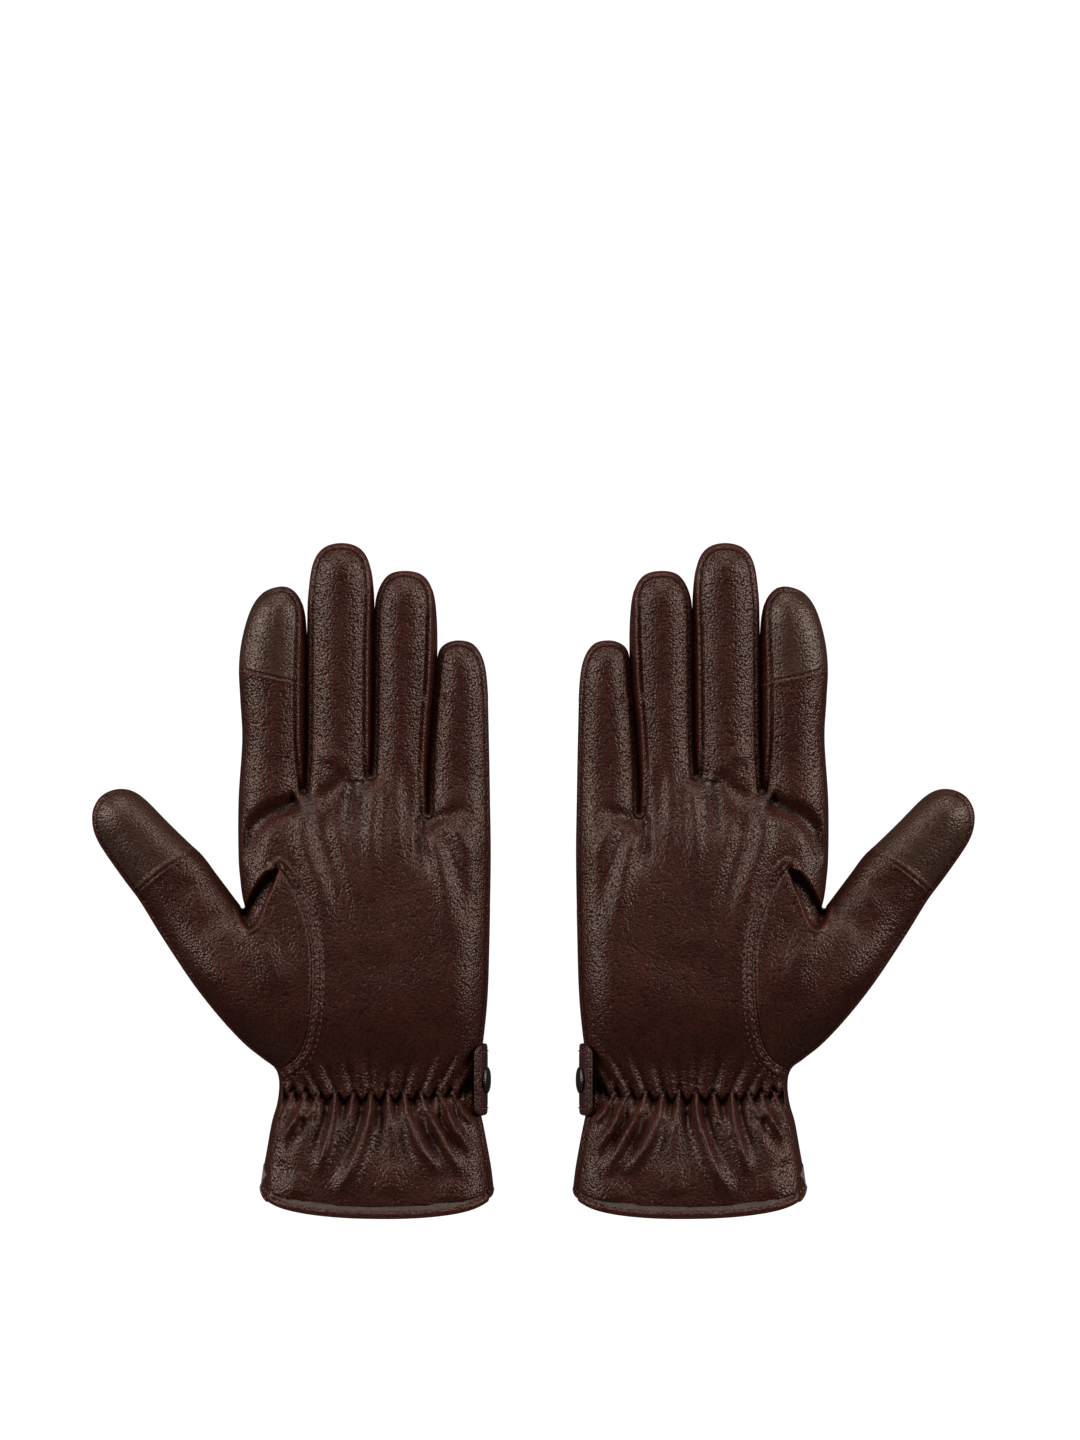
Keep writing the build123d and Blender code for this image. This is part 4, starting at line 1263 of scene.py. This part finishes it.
def make_linings(side):
    rows = []
    loop = skin["vertices"][skin["hem_loop"]]
    middle = (loop.min(0) + loop.max(0)) / 2
    x, z = superellipse(-1, 1, -0.35, 0.35, 2.4)
    mouth = around_loop(loop, middle, np.arctan2(z, x))
    for shrink, lift in MOUTH_STEPS:
        rows.append(middle + (mouth - middle) * (shrink, 1, 1 - 2.2 * (1 - shrink)) + (0, lift, 0))
    for y, x0, x1, depth in LINING:
        top, low, _ = base_fields(np.array([[-6.0, y, 0.0]]))
        x, z = superellipse(x0 + 0.6, x1 - 0.6, low[0] + LINING_INSET, top[0] - depth, 2.4)
        rows.append(np.column_stack([x, np.full(len(x), float(y)), z]))
    points, faces = rings(rows)
    piece = add_mesh("lining", points, [face[::-1] for face in faces], side, FLEECE)
    thicken(piece, LINING_THICK)
    settle(piece, side, None, ("lining",))
    for digit, (start, end, half, low, high) in DIGIT_LININGS.items():
        start, end = np.array([*start, 0.0]), np.array([*end, 0.0])
        along = unit(end - start)
        across = np.array([along[1], -along[0], 0.0])
        length = np.linalg.norm(end - start)
        rows = []
        tip = half / length
        round_end = 1 - tip * (1 - np.sin(np.linspace(0.12, 1.5, 9)))
        for t in np.concatenate([np.linspace(0, 1 - tip, 26), round_end]):
            beyond = max(0.0, (t * length - (length - half)) / half)
            share = sqrt(max(0.02, 1 - beyond**2))
            floor, roof = low + 4 * (1 - share), high - 5 * (1 - share)
            x, z = superellipse(-half * share, half * share, floor, roof, 2.3, DIGIT_AROUND)
            rows.append(start + along * t * length + across * x[:, None] + np.column_stack([0 * z, 0 * z, z]))
        points, faces = rings(rows)
        faces.append(tuple(range(len(points) - DIGIT_AROUND, len(points))))
        piece = add_mesh(f"{digit}_lining", points, faces, side, FLEECE)
        settle(piece, side, digit, (f"{digit}_lining",))


def thicken(piece, thickness):
    """Gives a sheet its thickness."""
    modifier = piece.modifiers.new("thickness", "SOLIDIFY")
    modifier.thickness = thickness * MM
    modifier.offset = 0


ELASTIC_HALF, ELASTIC_THICK = 3.6, 0.9
RIB_HEIGHT, RIB_PITCH = 0.22, 1.5


def make_elastic(side):
    """The ribbed elastic inside the palm side, under the shirring."""
    rows = []
    for x in np.linspace(-35.0, 28.0, 253):
        y0, y1 = float(shirr_line(x)) - ELASTIC_HALF, float(shirr_line(x)) + ELASTIC_HALF
        top, _, _ = base_fields(np.array([[x, -76.5, 0.0]]))
        drop = 6.6 + 5.0 * (abs(x + 5) / 33) ** 5
        rib = RIB_HEIGHT * cos(2 * pi * x / RIB_PITCH)
        z1, z0 = top[0] - drop + rib, top[0] - drop - ELASTIC_THICK + rib
        z = (z0 + z1) / 2
        section = [(y0, z0), (y1, z0), (y1 + 0.2, z), (y1, z1), (y0, z1), (y0 - 0.2, z)]
        rows.append(np.array([(x, y, z) for y, z in section]))
    points, faces = rings(rows, False, True)
    piece = add_mesh("wrist_elastic", points, faces, side, WEBBING)
    settle(piece, side, None, ("wrist_elastic",))


STRAP_LOW, STRAP_HIGH = -84.8, -59.4
STRAP_THICK = 1.7
STRAP_Z = 3.0              # the level at which it lies in the back of the wrist
BEND_X, BEND_OUT, BEND_UP = -37.1, 6.7, 7.4      # where it turns up to the tab, how far out and how far up
STRAP_STITCH = 2.4         # from its edge to its stitches
TAB_PATH = [
    (-43.8, 0, 10.4), (-43.8, 0, 13.0), (-43.6, 0, 16.0), (-43.2, 0, 18.5), (-42.2, 0, 21.2),
    (-40.1, 0, 24.0),
]
SNAP_Y, SNAP_Z = -72.1, 18.0


def path_3d(points, step):
    """A smooth curve in the x, z plane at even steps."""
    flat = spline([(x, z) for x, _, z in points], step)
    return np.column_stack([flat[:, 0], np.zeros(len(flat)), flat[:, 1]])


def make_strap(side):
    quarter = np.linspace(0, pi / 2, 12)
    bend = [(BEND_X - BEND_OUT * sin(a), 0, STRAP_Z + BEND_UP * (1 - cos(a))) for a in quarter]
    flat = [(x, 0, STRAP_Z) for x in np.linspace(18.0, -36.0, 70)]
    points, faces = ribbon(flat + bend, (0, 1, 0), STRAP_LOW, STRAP_HIGH, STRAP_THICK, (7.0, 0))
    strap = add_mesh("back_strap", points, faces, side, STRAP)
    settle(strap, side, None, ("back_strap",))
    high = STRAP_HIGH - STRAP_STITCH
    row = [(x, high, 2.0) for x in np.linspace(-35, 14, 60)]
    turn = [(14 + 2.2 * sin(a), high - 2.2 * (1 - cos(a)), 2.0) for a in np.linspace(0, pi / 2, 6)]
    back = [(x, STRAP_LOW + STRAP_HIGH - y, z) for x, y, z in (row + turn)[::-1]]
    stitches = add_mesh("back_strap_stitches", *stitch_row(row + turn + back, (0, 0, -1), 2.6), side, THREAD)
    settle(stitches, side, None, ())

    path = path_3d(TAB_PATH, 0.3)
    points, faces = ribbon(path, (0, 1, 0), STRAP_LOW, STRAP_HIGH, STRAP_THICK, (0, 3.4))
    tab = add_mesh("strap_tab", points, faces, side, STRAP)
    settle(tab, side, "strap_tab", ("strap_tab",))
    tangent = unit(np.gradient(path, axis=0))
    outward = unit(np.cross((0, 1, 0), tangent))
    outward *= -np.sign(outward[:, :1])
    face = path + outward * (STRAP_THICK / 2 + 0.02)
    up = face[3:-8]
    ends = np.linspace(STRAP_LOW + STRAP_STITCH, high, 30)
    row = [p + (0, STRAP_LOW + STRAP_STITCH, 0) for p in up] + [face[-8] + (0, y, 0) for y in ends[1:-1]]
    row += [p + (0, high, 0) for p in up[::-1]]
    stitches = add_mesh("strap_tab_stitches", *stitch_row(row, (-1, 0, 0.3), 2.4), side, THREAD)
    settle(stitches, side, "strap_tab", ())

    k = int(np.argmin(np.abs(path[:, 2] - SNAP_Z)))
    centre, axis = path[k] + (0, SNAP_Y, 0), outward[k]
    cap = [
        (0.7, 4.5), (1.0, 4.7), (1.45, 4.62), (1.75, 4.1), (1.9, 3.3), (1.95, 2.2), (2.1, 1.9),
        (2.3, 1.2), (2.36, 0.3),
    ]
    points, faces = lathe(cap, centre, axis, 96, 32, 0.022)
    settle(add_mesh("snap_cap", points, faces, side, METAL), side, "strap_tab", ("snap_cap",))
    socket = [(-0.6, 3.4), (-1.0, 3.5), (-1.35, 3.3), (-1.5, 2.9), (-1.45, 2.3), (-0.9, 2.1), (-0.85, 0.3)]
    points, faces = lathe(socket, centre, axis, 48)
    piece = add_mesh("snap_socket", points, [f[::-1] for f in faces], side, METAL)
    settle(piece, side, "strap_tab", ("snap_socket",))
    stud = [
        (-4.8, 1.5), (-2.75, 1.6), (-2.6, 3.0), (-2.35, 3.15), (-2.15, 3.0), (-2.05, 1.7), (-1.85, 1.6),
        (-1.6, 1.9), (-1.25, 1.7), (-1.1, 0.9), (-1.08, 0.2),
    ]
    points, faces = lathe(stud, centre, axis, 48)
    settle(add_mesh("snap_stud", points, faces, side, METAL), side, None, ("snap_stud",))


for side in SIDES:
    make_skin_pieces(side)
    make_stitches(side)
    make_hem(side)
    make_linings(side)
    make_elastic(side)
    make_strap(side)

# ---- Floor, lights and camera

scene = bpy.context.scene
scene.view_settings.view_transform = "Standard"


def make_floor():
    """A white table that stays evenly white, as on a catalogue page."""
    n = Nodes("white_table")
    glow = n.add("ShaderNodeEmission", {"Color": (1, 1, 1, 1), "Strength": 1.1})
    n.tree.links.new(glow.outputs[0], n.output.inputs["Surface"])
    mesh = bpy.data.meshes.new("table")
    size, level = 4.0, -0.0006
    corners = [(-size, -size, level), (size, -size, level), (size, size, level), (-size, size, level)]
    mesh.from_pydata(corners, [], [(0, 1, 2, 3)])
    mesh.materials.append(n.material)
    floor = bpy.data.objects.new("table", mesh)
    scene.collection.objects.link(floor)
    floor.visible_diffuse = False
    floor.visible_glossy = False


def softbox(name, place, aim, size, power):
    light = bpy.data.lights.new(name, "AREA")
    light.shape = "RECTANGLE"
    light.size, light.size_y = size
    light.energy = power
    lamp = bpy.data.objects.new(name, light)
    scene.collection.objects.link(lamp)
    lamp.location = place
    lamp.rotation_euler = (Vector(aim) - Vector(place)).to_track_quat("-Z", "Y").to_euler()


make_floor()
for sign in (-1, 1):
    softbox(f"side_light_{sign + 1}", (sign * 1.65, 0.55, 0.85), (0, 0, 0), (0.4, 1.3), 27.0)
softbox("far_light", (0, 1.9, 0.85), (0, 0, 0), (1.6, 0.5), 23.0)
softbox("near_light", (0, -1.6, 0.32), (0, 0, 0.01), (1.4, 0.4), 1.6)

world = bpy.data.worlds.new("world")
scene.world = world
world.use_nodes = True
world.node_tree.nodes["Background"].inputs["Color"].default_value = (1, 1, 1, 1)
world.node_tree.nodes["Background"].inputs["Strength"].default_value = 0.04

VIEW_HEIGHT = 522.0        # what the view spans from its top to its bottom
CAMERA_HEIGHT = 2.0
MIDDLE_HEIGHT = 16.0       # the level at which the view has that span
camera_data = bpy.data.cameras.new("camera")
camera_data.sensor_width = 36.0
camera_data.lens = 36.0 * (CAMERA_HEIGHT - MIDDLE_HEIGHT * MM) / (VIEW_HEIGHT * MM)
camera = bpy.data.objects.new("camera", camera_data)
scene.collection.objects.link(camera)
camera.location = (2.4 * MM, 58.3 * MM, CAMERA_HEIGHT)
scene.camera = camera
